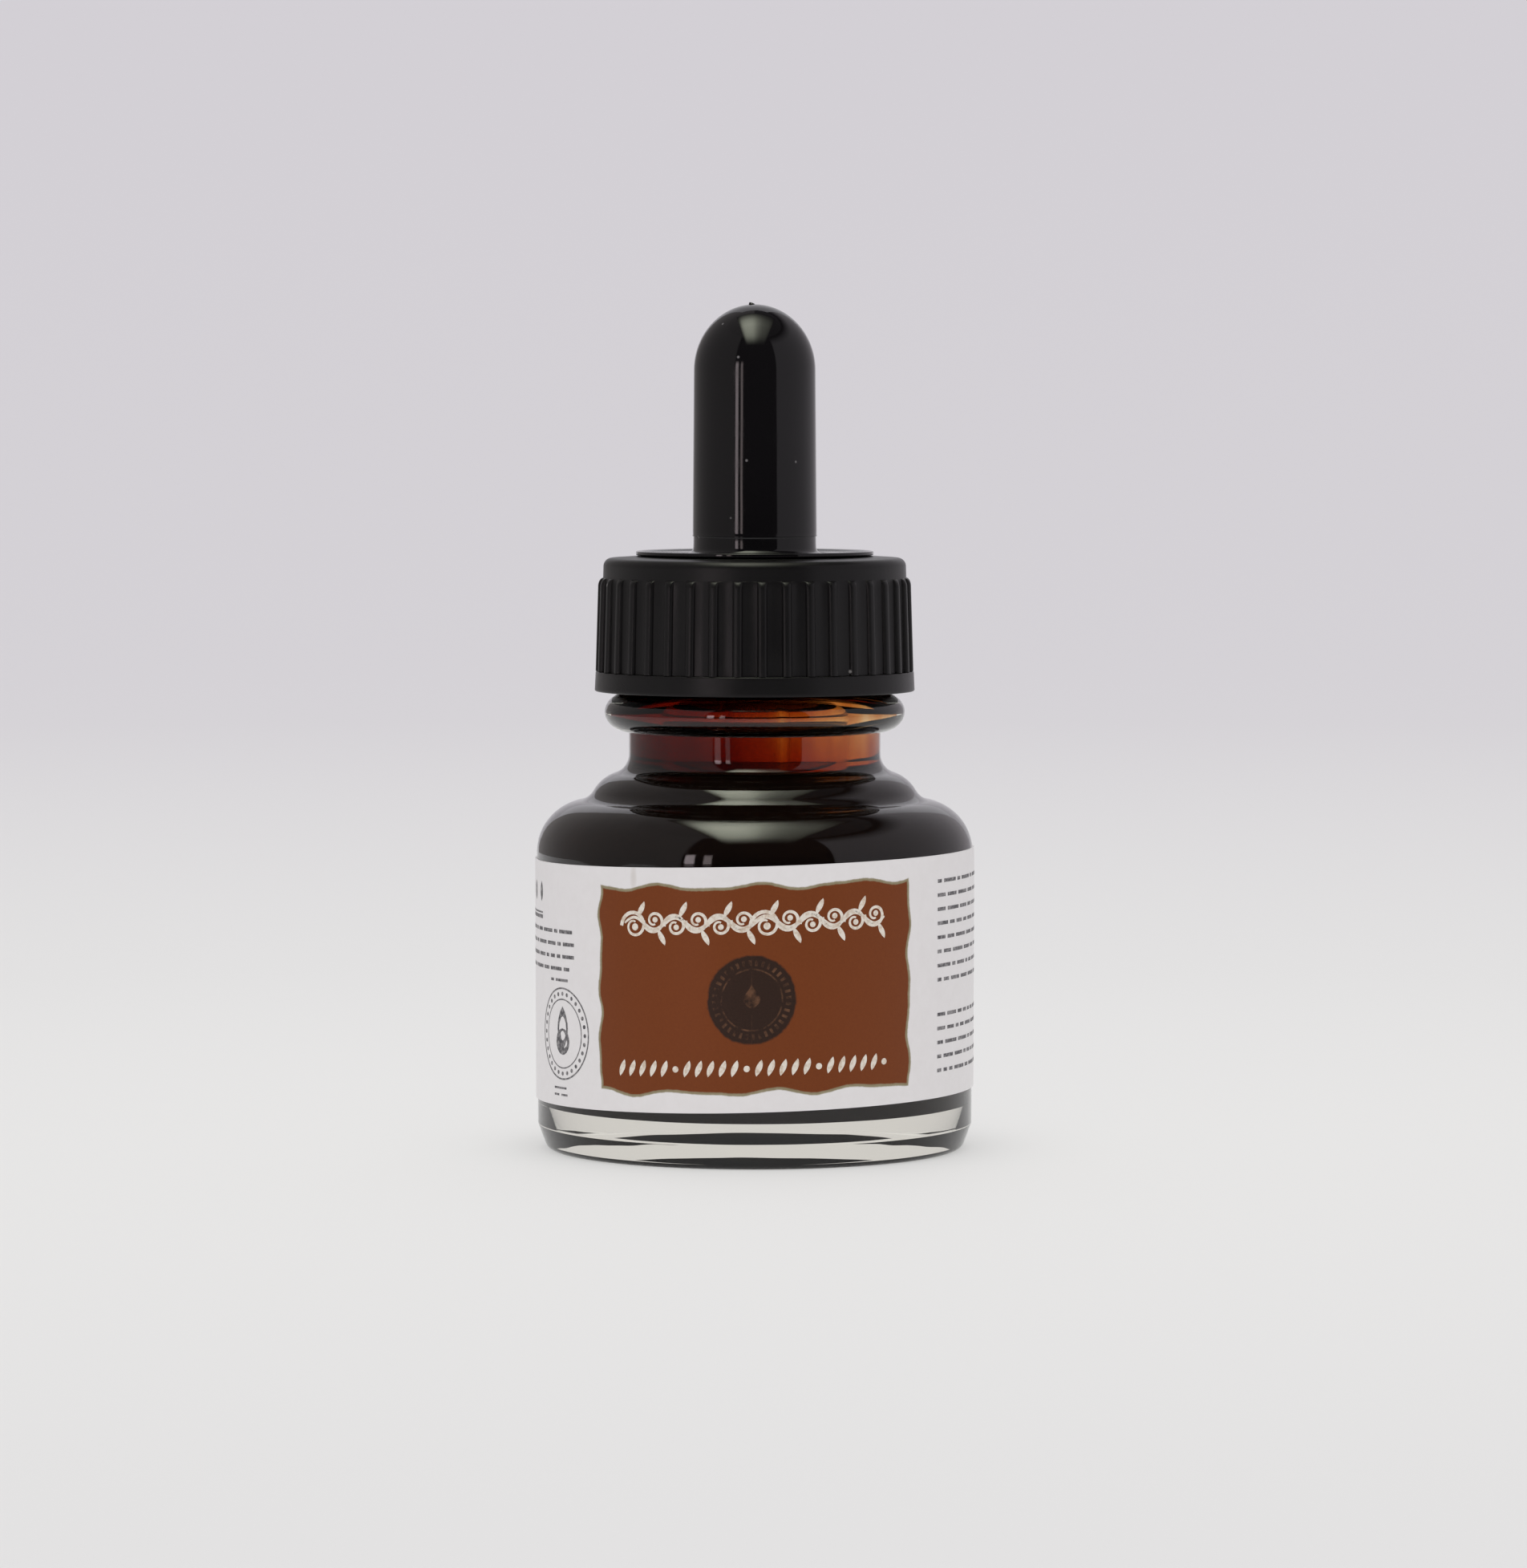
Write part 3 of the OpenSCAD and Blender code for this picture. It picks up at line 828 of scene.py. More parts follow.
def small_rules(art, start, end, y, thick=0.34):
    """A row of short rules of uneven length."""
    x = start
    while x < end - 0.5:
        length = chance.choice((0.7, 1.0, 1.4, 1.9, 2.4))
        art.rule(x, min(end, x + length), y, thick)
        x += length + 0.42


MARK_ALONG = -21.9
MARK_UP = -4.6
LEFT_RULES = (-40.0, -19.8)
HEADING = (-36.0, -26.8)
RIGHT_RULES = (20.2, 41.0)

grey = Ornament()
for row in range(4):
    small_rules(grey, *LEFT_RULES, 5.05 - 1.18 * row)
grey.rule(*HEADING, 6.6, 0.16)
grey.rule(*HEADING, 6.2, 0.34)
for k in range(4):
    grey.leaf(-35.0 + 2.6 * k, 8.6, 0.42, 0.95, 0)
small_rules(grey, -24.4, -20.2, 0.45, 0.26)
grey.ring(MARK_ALONG, MARK_UP, 4.3, 0.16)
grey.ring(MARK_ALONG, MARK_UP, 3.25, 0.12)
for k in range(28):
    a = 2 * math.pi * k / 28
    grey.dot(MARK_ALONG + 3.78 * math.cos(a), MARK_UP + 3.78 * math.sin(a), 0.2, steps=10)
grey.dot(MARK_ALONG, MARK_UP - 0.75, 1.25)
grey.leaf(MARK_ALONG, MARK_UP + 0.5, 1.0, 2.1, 0)
small_rules(grey, -23.6, -21.0, -9.75, 0.2)
small_rules(grey, -23.6, -21.0, -10.4, 0.2)
for row in range(8):
    small_rules(grey, *RIGHT_RULES, 9.0 - 1.33 * row)
for row in range(5):
    small_rules(grey, *RIGHT_RULES, -3.6 - 1.32 * row)
grey_print = grey.piece("label_grey_rules")

GREY_TONES = ((0.35, (0.30, 0.29, 0.29)), (0.6, (0.075, 0.072, 0.078)))
grey_ink = printing_ink("grey_print", 0.5, 3000.0, GREY_TONES)
grey_print.data.materials.append(grey_ink.material)
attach(grey_print, "bottle")


# Glass pipette
# A drawn glass tube, flared at its top where the bulb holds it and narrowed to a fine tip just above the
# bottle's floor.

TUBE_R = 3.5
TUBE_IN_R = 2.5
TIP_Z = 6.5
TAPER = 10.0
TIP_STRAIGHT = 1.0
TIP_EDGE = 0.25
TUBE_EDGE = 0.3
FLARE_OUT = 0.5
FLARE_HALF = 0.7
TIP_R = 1.5
TIP_IN_R = 0.65
GRIP_TOP = 58.85
TUBE_TOP = 61.25


def taper_points(tip_r, tube_r):
    """The taper from above its small end up to the straight tube."""
    points = []
    for k in range(1, 21):
        t = k / 20
        ease = t * t * (3 - 2 * t)
        r = tip_r + (tube_r - tip_r) * (0.25 * t + 0.75 * ease)
        points.append((r, TIP_Z + TIP_STRAIGHT + (TAPER - TIP_STRAIGHT) * t))
    return points


def pipette_outside():
    points = arc(TIP_R - TIP_EDGE, TIP_Z + TIP_EDGE, TIP_EDGE, -90, 0, 6)
    points += taper_points(TIP_R + 0.06, TUBE_R)[:-1]
    points += line((TUBE_R, TIP_Z + TAPER), (TUBE_R, GRIP_TOP + FLARE_HALF), 40)
    points += arc(TUBE_R, GRIP_TOP + 2 * FLARE_HALF, FLARE_OUT, -90, 90, 12, FLARE_HALF)[:-1]
    points += arc(TUBE_R - TUBE_EDGE, TUBE_TOP - TUBE_EDGE, TUBE_EDGE, 0, 90, 6)
    return points


def pipette_inside(grow=0.0):
    """The bore from the top down, pushed out into the glass by grow."""
    points = line((TUBE_IN_R + grow, TUBE_TOP), (TUBE_IN_R + grow, TIP_Z + TAPER), 40)
    points += reversed(taper_points(TIP_IN_R + 0.03 + grow, TUBE_IN_R + grow))
    return points


tube_glass = clear_glass("pipette_glass", (0.98, 0.99, 0.985, 1), 220.0, 320.0, 0.03, 0.06, 0.0004)

pipette_mouth = [(TUBE_IN_R + 0.15, TUBE_TOP)]
pipette_tip = [(TIP_IN_R, TIP_Z + 0.2), (TIP_IN_R + 0.15, TIP_Z)]
pipette = turned(
    "pipette_glass",
    pipette_outside() + pipette_mouth + pipette_inside() + pipette_tip,
    96,
    closed=True,
)
pipette.data.materials.append(tube_glass.material)
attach(pipette, "dropper")
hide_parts("glass_pipette")


# Ink in the pipette
# The column that stands in the tube as high as the ink outside it, a little browner than the bulk of it.

column_wall = [(r, z) for r, z in pipette_inside(0.03) if z < INK_LEVEL - 0.2]
column_wall.reverse()
column_points = [(0.0, TIP_Z + 0.2), (TIP_IN_R + 0.03, TIP_Z + 0.2)] + column_wall
column_points += [(TUBE_IN_R + 0.02, INK_LEVEL), (TUBE_IN_R - 0.35, INK_LEVEL - 0.28)]
column_points += [(TUBE_IN_R - 1.0, INK_LEVEL - 0.42), (0.0, INK_LEVEL - 0.45)]
column = turned("pipette_ink", column_points, 96)
column_ink = Finish(
    "column_ink",
    Base_Color=(0.02, 0.008, 0.004, 1),
    Roughness=0.35,
    Specular_IOR_Level=0.1,
)
column_cloud = column_ink.noise(Scale=220.0, Detail=3.0)
column_tone = column_ink.tones(column_cloud, ((0.0, (0.010, 0.004, 0.002)), (1.0, (0.040, 0.014, 0.006))))
column_ink.feed("Base Color", column_tone)
column.data.materials.append(column_ink.material)
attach(column, "dropper")
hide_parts("ink_in_pipette")


# Rubber bulb
# One moulding of smooth black rubber: a round teat with a mould line near its foot and a nub at its top, a
# thin dished flange on the cap, a groove in the cap's hole, and a flange that seals the lip.

BULB_R = 5.93
BULB_DOME_R = 5.81
BULB_WALL = 1.2
FLANGE_Z = 56.75
FLANGE_T = 0.4
FLANGE_R = 11.35
GROOVE_R = 10.2
SEAL_FLANGE_R = 12.9
SEAL_EDGE = 0.25
FLANGE_EDGE = 0.13
SLIP_GAP = 0.05
PLATE_Z = 55.3
DOME_Z = 74.35
DOME_H = 6.3
SEAM_Z = 58.6


def bulb_outline():
    """Round the seal flange, the groove, the upper flange and the teat, and back down inside it."""
    edge = FLANGE_EDGE
    low = LIP_Z + SLIP_GAP
    high = PLATE_Z - SLIP_GAP
    seal_r = SEAL_FLANGE_R - SEAL_EDGE
    points = [(TUBE_R, low), (8.0, low)]
    points += arc(seal_r, low + SEAL_EDGE, SEAL_EDGE, -90, 0, 6)
    points += arc(seal_r, high - SEAL_EDGE, SEAL_EDGE, 0, 90, 6)
    points += arc(GROOVE_R + 0.15, PLATE_Z + 0.1, 0.15, 270, 180, 4)
    points += arc(GROOVE_R + 0.1, FLANGE_Z - 0.1, 0.1, 180, 90, 4)
    points += line((GROOVE_R + 0.1, FLANGE_Z), (FLANGE_R - 0.1, FLANGE_Z), 4)
    points += arc(FLANGE_R - edge, FLANGE_Z + edge, edge, -90, 0, 6)
    points += arc(FLANGE_R - edge, FLANGE_Z + FLANGE_T - edge, edge, 0, 90, 6)
    points += arc(FLANGE_R - 0.6, FLANGE_Z + FLANGE_T + 0.18, 0.32, 300, 250, 6)
    points += line((FLANGE_R - 0.9, FLANGE_Z + 0.24), (BULB_R + 0.9, FLANGE_Z + 0.2), 8)
    points += arc(BULB_R + 0.55, FLANGE_Z + 0.8, 0.6, 268, 182, 12)
    points += line((BULB_R - 0.05, FLANGE_Z + 0.85), (BULB_R - 0.07, FLANGE_Z + 1.3), 3)
    points += [(BULB_R - 0.07, SEAM_Z - 0.12), (BULB_R - 0.06, SEAM_Z - 0.05)]
    points += [(BULB_R + 0.025, SEAM_Z - 0.02), (BULB_R + 0.025, SEAM_Z + 0.03)]
    points += [(BULB_R - 0.01, SEAM_Z + 0.09)]
    points += line((BULB_R, SEAM_Z + 0.15), (BULB_DOME_R, DOME_Z), 40)
    points += arc(0.0, DOME_Z, BULB_DOME_R, 0, 89, 40, DOME_H)
    points += [(0.0, DOME_Z + DOME_H), (0.0, DOME_Z + DOME_H - BULB_WALL)]
    points += arc(0.0, DOME_Z, BULB_DOME_R - BULB_WALL, 88, 0, 20, DOME_H - BULB_WALL)
    points += line((BULB_DOME_R - BULB_WALL, DOME_Z), (BULB_R - BULB_WALL, GRIP_TOP + 1), 10)
    points += [(TUBE_R, GRIP_TOP)]
    return points


def make_dust():
    """Fine dust: a scatter of pale specks, some places dustier than others."""
    group, start, end = new_group(
        "dust",
        [("Speck Size", 900.0), ("Amount", 0.05)],
        [("Mask", "NodeSocketFloat")],
    )
    place = group.nodes.new("ShaderNodeTexCoord")
    specks = group.nodes.new("ShaderNodeTexVoronoi")
    specks.feature = "F1"
    sort = group.nodes.new("ShaderNodeSeparateColor")
    pick = group.nodes.new("ShaderNodeMath")
    pick.operation = "LESS_THAN"
    near = group.nodes.new("ShaderNodeMapRange")
    near.inputs["From Min"].default_value = 0.22
    near.inputs["From Max"].default_value = 0.08
    both = group.nodes.new("ShaderNodeMath")
    both.operation = "MULTIPLY"
    for output, target in (
        (place.outputs["Object"], specks.inputs["Vector"]),
        (start.outputs["Speck Size"], specks.inputs["Scale"]),
        (specks.outputs["Color"], sort.inputs["Color"]),
        (sort.outputs["Red"], pick.inputs[0]),
        (start.outputs["Amount"], pick.inputs[1]),
        (specks.outputs["Distance"], near.inputs["Value"]),
        (near.outputs["Result"], both.inputs[0]),
        (pick.outputs["Value"], both.inputs[1]),
        (both.outputs["Value"], end.inputs["Mask"]),
    ):
        group.links.new(output, target)
    return group


dust = make_dust()

black_rubber = Finish("black_rubber", Roughness=0.08, IOR=1.42)
rubber_dust = black_rubber.place(dust, Speck_Size=1300.0, Amount=0.012)
rubber_skin = black_rubber.noise(Scale=70.0, Detail=2.0)
rubber_scuff = black_rubber.noise(Scale=420.0, Detail=6.0, Roughness=0.7)
rubber_colour = black_rubber.tint(rubber_skin, (0.0035, 0.003, 0.0035, 1), (0.006, 0.0055, 0.006, 1))
rubber_colour = black_rubber.tint(rubber_dust.outputs["Mask"], rubber_colour, (0.20, 0.19, 0.19, 1))
rubber_gloss = black_rubber.spread(rubber_scuff, 0.45, 0.8, 0.06, 0.16)
black_rubber.feed("Base Color", rubber_colour)
black_rubber.feed("Roughness", rubber_gloss)
black_rubber.relief(rubber_skin, 0.10, 0.0012)

bulb = turned("bulb_rubber", bulb_outline(), 224, closed=True, crease=32)
bulb.data.materials.append(black_rubber.material)
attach(bulb, "dropper")
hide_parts("rubber_bulb")

NUB_SHIFT = -0.22
NUB_SLANT = 0.35
BULB_TOP = DOME_Z + DOME_H
nub_outline = [(0.0, -0.3), (0.36, -0.3), (0.36, -0.02), (0.3, 0.08), (0.24, 0.12), (0.0, 0.16)]
nub = turned("bulb_nub", [(r, z + BULB_TOP) for r, z in nub_outline], 24)
for vertex in nub.data.vertices:
    if vertex.co.z > BULB_TOP * MM:
        vertex.co.z -= NUB_SLANT * vertex.co.x
    vertex.co.x += NUB_SHIFT * MM
nub.data.materials.append(black_rubber.material)
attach(nub, "dropper")


# Screw cap
# Black moulded plastic: a plate with a hole that grips the bulb's groove, a drafted wall with forty grip
# ribs that stand on a plain band, and a thread inside.

CAP_Z = 43.8
CAP_TOP = 56.7
CAP_R = 14.45
SKIRT_R = 14.75
CAP_ROUND = 0.8
CAP_EDGE = 0.15
PLATE_RISE = 0.2
HOLE_R = 10.4
BAND_Z = 45.7
BAND_R = 15.21
RIB_COUNT = 40
RIB_HALF = 0.39
RIB_OUT = 0.46
RIB_TOP = 54.6
RIB_PHASE = math.radians(2.85 - 90)
CAP_IN_R = 13.25
CAP_THREAD_W = 1.3
CAP_THREAD_DROP = 1.45
CAP_THREAD_DEPTH = 1.05
RIB_FLANK = 0.1
RIB_END = 0.78


def cap_wall(z):
    """Outside radius of the wall between the ribs."""
    top = CAP_TOP - PLATE_RISE - CAP_ROUND
    t = max(0.0, min(1.0, (top - z) / (top - BAND_Z)))
    return CAP_R + (SKIRT_R - CAP_R) * t


def rib_height(z):
    """How far a rib stands out at a height: its top end is rounded off."""
    if z >= RIB_TOP or z < BAND_Z:
        return 0.0
    start = RIB_TOP - RIB_END
    if z <= start:
        return RIB_OUT
    t = (z - start) / RIB_END
    return RIB_OUT * math.sqrt(max(0.0, 1 - t * t))


def cap_shape(r, z, angle):
    """Adds the ribs outside and the thread inside."""
    if CAP_Z + 0.5 < z < PLATE_Z - 0.1 and r < CAP_IN_R + 0.01:
        low = THREAD_LOW - CAP_THREAD_DROP
        return r - thread_ridge(z, angle, low, CAP_THREAD_W, CAP_THREAD_DEPTH)
    if r < CAP_R - 0.1 or z < BAND_Z + 0.02:
        return r
    period = 2 * math.pi / RIB_COUNT
    away = ((angle - RIB_PHASE) / period + 0.5) % 1.0 - 0.5
    across = abs(away * period * r)
    half = RIB_HALF + RIB_FLANK
    if across >= half:
        return r
    rise = max(0.0, 1 - (across / half) ** 3.2) ** 0.62
    return r + rib_height(z) * rise


def cap_angles():
    """Closer columns on the ribs' flanks than between them."""
    period = 2 * math.pi / RIB_COUNT
    reach = (RIB_HALF + RIB_FLANK) / 15.0
    shares = (-1.0, -0.96, -0.88, -0.76, -0.6, -0.35, 0.0, 0.35, 0.6, 0.76, 0.88, 0.96, 1.0)
    angles = []
    for k in range(RIB_COUNT):
        middle = RIB_PHASE + k * period
        for share in shares:
            angles.append(middle + share * reach)
        gap = period - 2 * reach
        for j in (1, 2):
            angles.append(middle + reach + gap * j / 3)
    return angles


def cap_outline():
    """From the hole over the plate, down the wall and the band, and back up the thread's wall."""
    edge = CAP_EDGE
    shoulder_z = CAP_TOP - PLATE_RISE - CAP_ROUND
    points = [(HOLE_R, PLATE_Z + edge), (HOLE_R, CAP_TOP - edge), (HOLE_R + edge, CAP_TOP)]
    points += line((HOLE_R + edge, CAP_TOP), (CAP_R - CAP_ROUND, CAP_TOP - PLATE_RISE), 6)
    points += arc(CAP_R - CAP_ROUND, shoulder_z, CAP_ROUND, 90, 0, 14)
    points += line((CAP_R, shoulder_z), (cap_wall(RIB_TOP), RIB_TOP), 4)
    for k in range(13):
        turn = math.radians(90 - 90 * k / 12)
        z = RIB_TOP - RIB_END * (1 - math.sin(turn)) if k else RIB_TOP
        points.append((cap_wall(z), z))
    points += line((cap_wall(RIB_TOP - RIB_END), RIB_TOP - RIB_END), (SKIRT_R, BAND_Z + 0.03), 24)
    points += [(SKIRT_R, BAND_Z + 0.03), (SKIRT_R, BAND_Z)]
    points += line((SKIRT_R, BAND_Z), (BAND_R - edge, BAND_Z), 3)
    points += arc(BAND_R - edge, BAND_Z - edge, edge, 90, 0, 6)
    points += line((BAND_R, BAND_Z - edge), (BAND_R + 0.08, CAP_Z + 0.12), 6)
    points += arc(BAND_R - 0.04, CAP_Z + 0.12, 0.12, 0, -90, 5)
    points += line((BAND_R - 0.04, CAP_Z), (CAP_IN_R + 0.3, CAP_Z), 4)
    points += [(CAP_IN_R + 0.3, CAP_Z), (CAP_IN_R + 0.08, CAP_Z + 0.12), (CAP_IN_R, CAP_Z + 0.4)]
    points += line((CAP_IN_R, CAP_Z + 0.4), (CAP_IN_R, PLATE_Z - 0.3), 90)
    points += arc(CAP_IN_R - 0.25, PLATE_Z - 0.25, 0.25, 0, 90, 4)
    points += line((CAP_IN_R - 0.25, PLATE_Z), (HOLE_R + edge, PLATE_Z), 4)
    points += [(HOLE_R + edge, PLATE_Z)]
    return points


cap_plastic = Finish("cap_plastic", Roughness=0.34, IOR=1.34)
cap_dust = cap_plastic.place(dust, Speck_Size=1000.0, Amount=0.02)
cap_pores = cap_plastic.noise(Scale=2600.0, Detail=3.0)
cap_shade = cap_plastic.noise(Scale=110.0, Detail=4.0)
cap_colour = cap_plastic.tint(cap_shade, (0.0035, 0.003, 0.0035, 1), (0.0065, 0.006, 0.006, 1))
cap_colour = cap_plastic.tint(cap_dust.outputs["Mask"], cap_colour, (0.25, 0.24, 0.23, 1))
cap_gloss = cap_plastic.spread(cap_shade, 0.35, 0.7, 0.27, 0.42)
cap_plastic.feed("Base Color", cap_colour)
cap_plastic.feed("Roughness", cap_gloss)
cap_plastic.relief(cap_pores, 0.10, 0.00006)

cap = turned("cap_shell", cap_outline(), closed=True, shape=cap_shape, angles=cap_angles(), crease=38)
cap.data.materials.append(cap_plastic.material)
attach(cap, "cap")
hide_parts("screw_cap")


# Studio
# A pale floor that curves up all round, and soft light from above and from the front. The floor also
# glows round the bottle as painted light, most near it, which lifts the bottle's shadow. Screens that only
# reflections see give gloss its picture: grey walls, a dark opening, two narrow lights and a soft box.

FLOOR_FLAT = 1000.0
FLOOR_REACH = 1900.0
FLOOR_RISE = 480.0
# Painted light: the floor's glow fades in from 10 mm to 21 mm from the bottle's axis, so it lights the floor
# round the foot and weakens the bottle's shadow there.
PAINTED_LIGHT_IN = 10.0
PAINTED_LIGHT_OUT = 21.0
floor_points = [(0.0, 0.0)]
floor_points += [(FLOOR_FLAT * k / 20, 0.0) for k in range(1, 21)]
for k in range(1, 31):
    t = k / 30
    floor_points.append((FLOOR_FLAT + (FLOOR_REACH - FLOOR_FLAT) * t, FLOOR_RISE * t ** 2.2))
floor = turned("studio_floor", floor_points, 96)
floor_paint = Finish("studio_floor", Roughness=0.85, IOR=1.3, Specular_IOR_Level=0.1)
floor_place = floor_paint.add("ShaderNodeTexCoord")
floor_far = floor_paint.add("ShaderNodeVectorMath", operation="LENGTH")
floor_paint.join(floor_place.outputs["Object"], floor_far.inputs[0])
floor_share = floor_paint.sum("DIVIDE", floor_far.outputs["Value"], FLOOR_REACH * MM)
floor_tone = floor_paint.tones(floor_share, ((0.0, (0.35, 0.35, 0.345)), (1.0, (0.35, 0.34, 0.355))))
# Painted light: the floor's glow is brightest round the bottle and dims towards the rising edge.
floor_painted_light = floor_paint.tones(floor_share, (
    (0.0, (0.490, 0.488, 0.478)),
    (0.108, (0.443, 0.441, 0.434)),
    (0.437, (0.384, 0.374, 0.384)),
    (1.0, (0.378, 0.366, 0.382)),
))
painted_light_edge = floor_paint.add("ShaderNodeMapRange", interpolation_type="SMOOTHSTEP")
painted_light_edge.inputs["From Min"].default_value = PAINTED_LIGHT_IN * MM
painted_light_edge.inputs["From Max"].default_value = PAINTED_LIGHT_OUT * MM
floor_paint.join(floor_far.outputs["Value"], painted_light_edge.inputs["Value"])
floor_paint.feed("Base Color", floor_tone)
floor_paint.feed("Emission Color", floor_painted_light)
floor_paint.feed("Emission Strength", painted_light_edge.outputs["Result"])
floor_paint.material.cycles.emission_sampling = "NONE"
floor.data.materials.append(floor_paint.material)

world = bpy.data.worlds.new("studio")
world.use_nodes = True
world_light = world.node_tree.nodes["Background"]
world_light.inputs["Color"].default_value = (0.97, 0.95, 1.0, 1)
world_light.inputs["Strength"].default_value = 0.80
bpy.context.scene.world = world

SOFT_BOX_UP = 0.62
SOFT_BOX_RIGHT = 0.075 * SOFT_BOX_UP
SOFT_BOX_BEHIND = -0.055 * SOFT_BOX_UP
SOFT_BOX_Z = 0.075 + SOFT_BOX_UP


def soft_light(name, place, aim, size, power, colour):
    """A rectangular soft light that gives no reflection of itself; lengths are in metres."""
    lamp = bpy.data.lights.new(name, "AREA")
    lamp.shape = "RECTANGLE"
    lamp.size, lamp.size_y = size
    lamp.energy = power
    lamp.color = colour
    light = bpy.data.objects.new(name, lamp)
    light.location = place
    direction = Vector(aim) - Vector(place)
    light.rotation_euler = direction.to_track_quat("-Z", "Y").to_euler()
    light.visible_glossy = False
    bpy.context.scene.collection.objects.link(light)
    return light


soft_light(
    "soft_box",
    (SOFT_BOX_RIGHT, SOFT_BOX_BEHIND, SOFT_BOX_Z),
    (SOFT_BOX_RIGHT, SOFT_BOX_BEHIND, 0.0),
    (0.85 * SOFT_BOX_UP, 1.37 * SOFT_BOX_UP),
    0.9,
    (0.98, 1.0, 0.93),
)
front_fill = soft_light(
    "front_fill",
    (-0.3, -1.2, 0.5),
    (0.0, 0.0, 0.03),
    (1.2, 0.9),
    1.2,
    (1.0, 0.985, 0.97),
)
front_fill.visible_transmission = False


def gloss_only(screen, glow):
    """Lights a screen with a glow and hides it from everything but reflections."""
    screen.data.materials.append(glow.material)
    screen.visible_camera = False
    screen.visible_diffuse = False
    screen.visible_transmission = False
    screen.visible_volume_scatter = False
    screen.visible_shadow = False


def upright_screen(name, reach, first, last, low, high):
    """A screen round the bottle, in millimetres; azimuths are degrees right of the front."""
    vertices = []
    faces = []
    columns = int(last - first)
    for z in (low, high):
        for i in range(columns + 1):
            a = math.radians(first + (last - first) * i / columns)
            vertices.append((reach * math.sin(a), -reach * math.cos(a), z))
    for i in range(columns):
        faces.append((i, i + columns + 1, i + columns + 2, i + 1))
    return new_piece(name, vertices, faces)


class Glow(Finish):
    """An emission whose colour is drawn by azimuth, height and place on a screen."""

    def __init__(self, name):
        super().__init__(name)
        self.nodes.remove(self.shader)
        self.shader = self.add("ShaderNodeEmission")
        self.join(self.shader.outputs["Emission"], self.nodes["Material Output"].inputs["Surface"])
        place = self.add("ShaderNodeTexCoord")
        split = self.add("ShaderNodeSeparateXYZ")
        self.join(place.outputs["Object"], split.inputs["Vector"])
        front = self.sum("MULTIPLY", split.outputs["Y"], -1.0)
        self.turn = self.sum("MULTIPLY", self.sum("ARCTAN2", split.outputs["X"], front), math.degrees(1.0))
        self.across = split.outputs["X"]
        self.behind = split.outputs["Y"]
        self.height = split.outputs["Z"]
        self.material.cycles.emission_sampling = "NONE"

    def between(self, low, high, soft):
        """1 between two azimuths, with edges soft degrees wide."""
        first = self.inside(self.sum("SUBTRACT", low, self.turn), soft)
        last = self.inside(self.sum("SUBTRACT", self.turn, high), soft)
        return self.sum("MULTIPLY", first, last)

    def under(self, z, soft):
        """1 below a height in metres."""
        return self.inside(self.sum("SUBTRACT", self.height, z), soft)

    def profile(self, position, stops):
        """Brightness along a line, from stops of (metres, share of the full brightness)."""
        low = stops[0][0]
        high = stops[-1][0]
        reach = self.sum("DIVIDE", self.sum("SUBTRACT", position, low), high - low)
        return self.tones(reach, [((metres - low) / (high - low), (share,) * 3) for metres, share in stops])


SURROUND_R = 900.0
LOW_SCREEN_R = 460.0
STRIP_SCREEN_R = 450.0
ROOM_H = 1300.0
DARK_OPENING = (0.03, 0.027, 0.03, 1)
LEFT_WALL = (0.33, 0.31, 0.31, 1)
RIGHT_WALL = (0.52, 0.49, 0.52, 1)
WIDE_STRIP = (4.2, 3.6, 3.75, 1)
THIN_STRIP = (2.5, 2.1, 2.1, 1)
SOFT_BOX = (5.8, 6.0, 4.9, 1)
CEILING_LEFT = (0.30, 0.28, 0.28, 1)
CEILING_RIGHT = (0.09, 0.085, 0.09, 1)

surround = Glow("surround_glow")
left_wall = surround.between(-175.0, -37.8, 3.0)
right_wall = surround.sum("MULTIPLY", surround.between(42.3, 175.0, 1.0), surround.under(1.0, 0.35))
surround_glow = surround.tint(left_wall, DARK_OPENING, LEFT_WALL)
surround_glow = surround.tint(right_wall, surround_glow, RIGHT_WALL)
surround.feed("Color", surround_glow)
surround_screen = upright_screen("surround_screen", SURROUND_R, -160, 160, -5.0, ROOM_H)
gloss_only(surround_screen, surround)
low_screen = upright_screen("low_screen", LOW_SCREEN_R, -160, 160, 1.0, 40.0)
gloss_only(low_screen, surround)

strips = Glow("strip_glow")
strips_fade = strips.profile(
    strips.height,
    ((0.0, 0.2), (0.024, 0.25), (0.036, 1.0), (0.150, 1.0), (0.190, 0.0)),
)
wide_strip = strips.sum("MULTIPLY", strips.between(-36.4, -31.0, 1.2), strips_fade)
thin_strip = strips.sum("MULTIPLY", strips.between(-26.4, -22.4, 1.0), strips_fade)
strips_glow = strips.tint(wide_strip, DARK_OPENING, WIDE_STRIP)
strips_glow = strips.tint(thin_strip, strips_glow, THIN_STRIP)
strips.feed("Color", strips_glow)
strip_screen = upright_screen("strip_screen", STRIP_SCREEN_R, -38, -22, 2.0, 190.0)
gloss_only(strip_screen, strips)

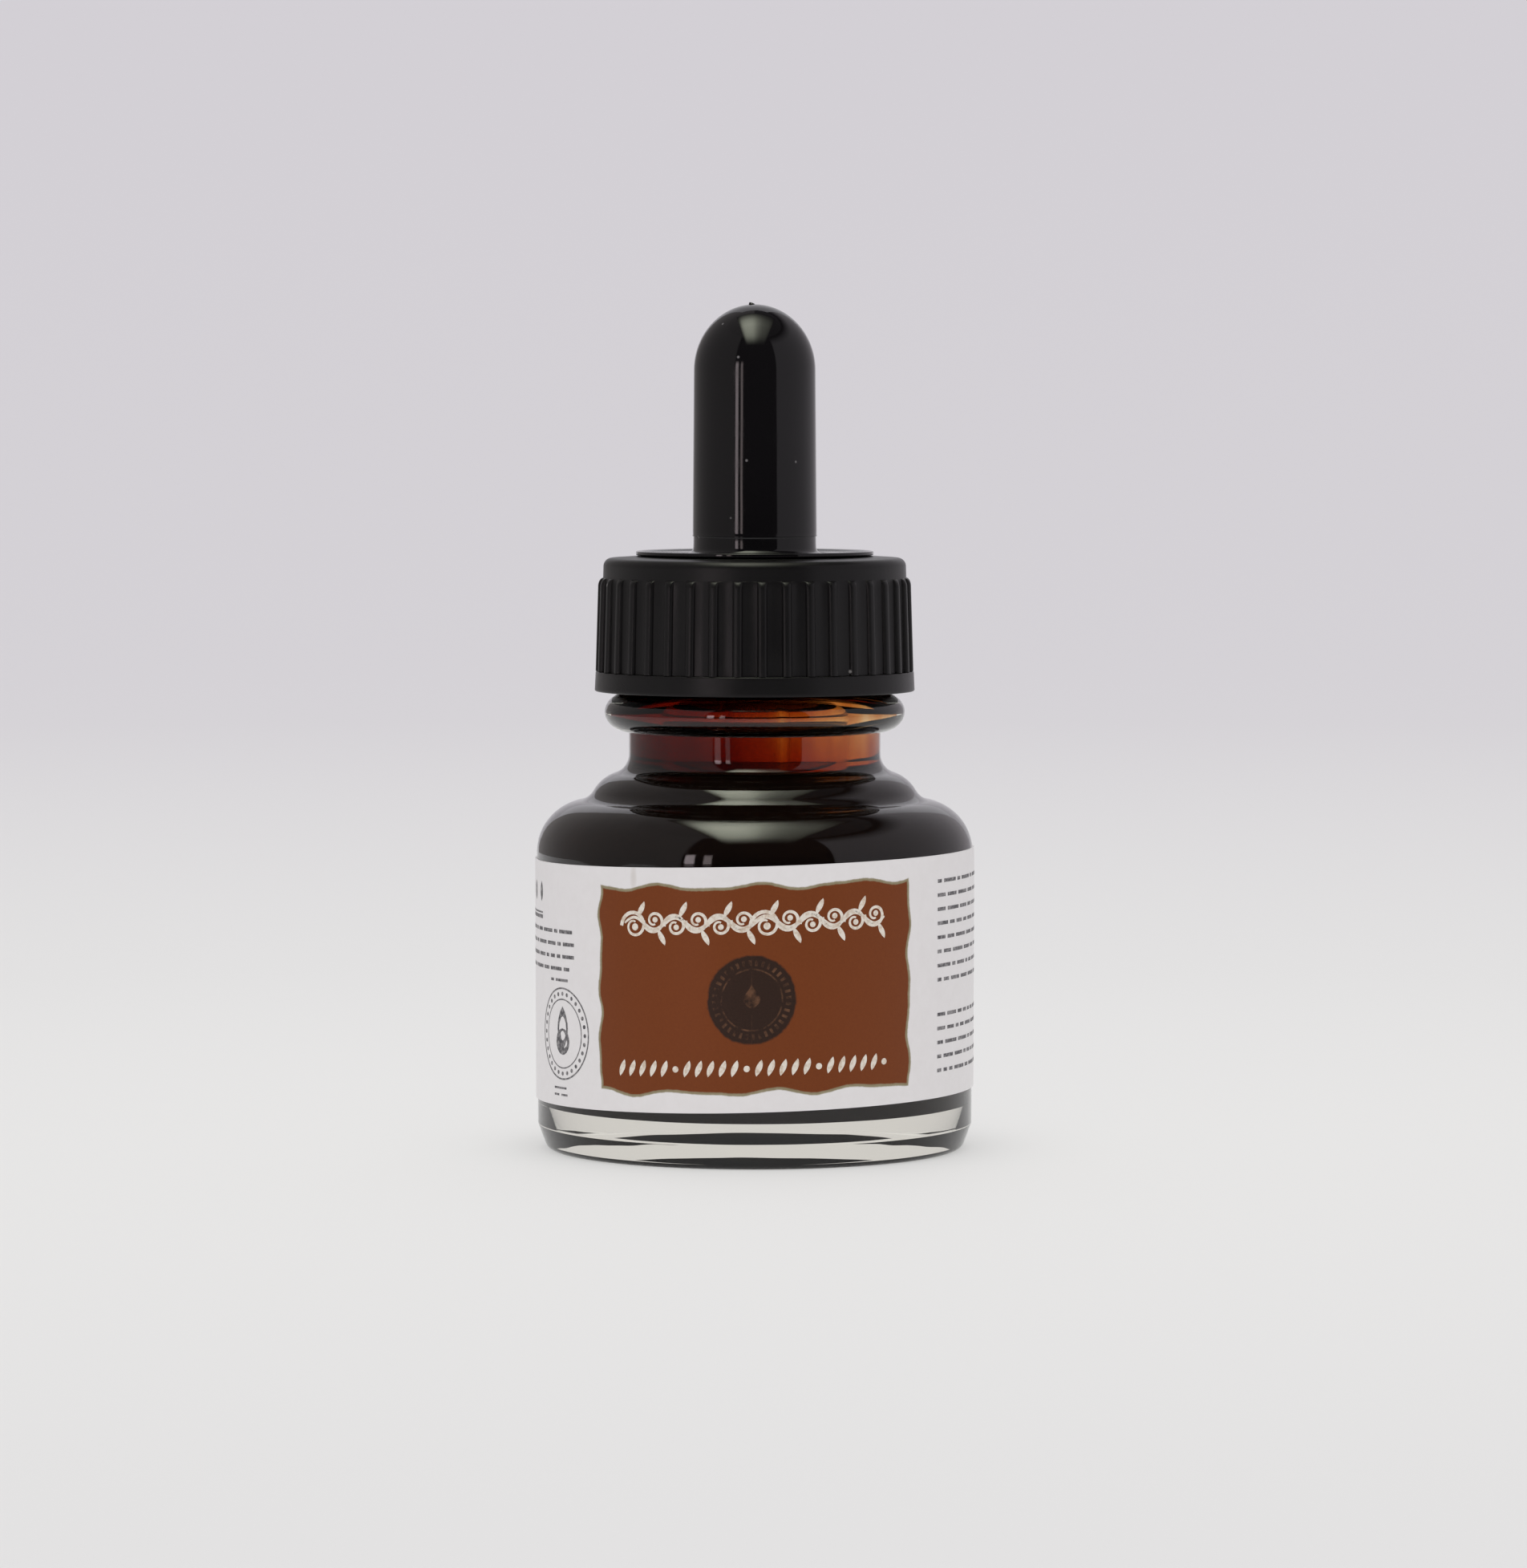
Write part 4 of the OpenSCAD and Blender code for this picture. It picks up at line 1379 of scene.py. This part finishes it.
gleam = Glow("soft_box_gleam")
gleam_across = gleam.profile(gleam.across, (
    (-0.245, 0.0), (-0.22, 0.3), (-0.19, 0.75), (-0.15, 0.97), (-0.08, 1.0), (-0.04, 0.97), (0.0, 0.82),
    (0.034, 0.57), (0.072, 0.41), (0.109, 0.29), (0.147, 0.22), (0.222, 0.15), (0.261, 0.09), (0.285, 0.0),
))
gleam_along = gleam.profile(gleam.behind, (
    (-0.68, 0.0), (-0.583, 0.11), (-0.506, 0.3), (-0.427, 0.56), (-0.365, 0.76), (-0.26, 0.92),
    (-0.15, 0.98), (-0.062, 1.0), (0.0, 0.84), (0.068, 0.63), (0.144, 0.30), (0.19, 0.18), (0.27, 0.0),
))
gleam_glow = gleam.tint(gleam.sum("MULTIPLY", gleam_across, gleam_along), DARK_OPENING, SOFT_BOX)
gleam.feed("Color", gleam_glow)
GLEAM_Z = 685.0
gleam_edges = ((-245.0, -680.0), (285.0, -680.0), (285.0, 270.0), (-245.0, 270.0))
gleam_corners = [(x, y, GLEAM_Z) for x, y in gleam_edges]
gleam_panel = new_piece("gleam_panel", gleam_corners, [(0, 1, 2, 3)])
gloss_only(gleam_panel, gleam)

ceiling = Glow("ceiling_glow")
ceiling_glow = ceiling.tint(ceiling.between(-190.0, -30.0, 25.0), CEILING_RIGHT, CEILING_LEFT)
ceiling.feed("Color", ceiling_glow)
ceiling_points = [(r, ROOM_H - 2.0) for r in (0.0, 300.0, 600.0, SURROUND_R + 5.0)]
ceiling_screen = turned("ceiling_screen", ceiling_points, 64)
gloss_only(ceiling_screen, ceiling)


# Camera
# In front of the bottle, level with the upper part of the bulb, looking slightly down with a long lens.

CAMERA_BACK = 0.640
CAMERA_UP = 0.0722
LOOK_DOWN = 3.34
camera_data = bpy.data.cameras.new("camera")
camera_data.sensor_fit = "AUTO"
camera_data.sensor_width = 36.0
camera_data.lens = 153.8
camera_data.clip_start = 0.01
camera_data.clip_end = 20.0
camera = bpy.data.objects.new("camera", camera_data)
camera.location = (0.00084, -CAMERA_BACK, CAMERA_UP)
camera.rotation_euler = (math.radians(90 - LOOK_DOWN), 0.0, 0.0)
bpy.context.scene.collection.objects.link(camera)
bpy.context.scene.camera = camera
bpy.context.scene.view_settings.view_transform = "Standard"
bpy.context.scene.view_settings.look = "None"
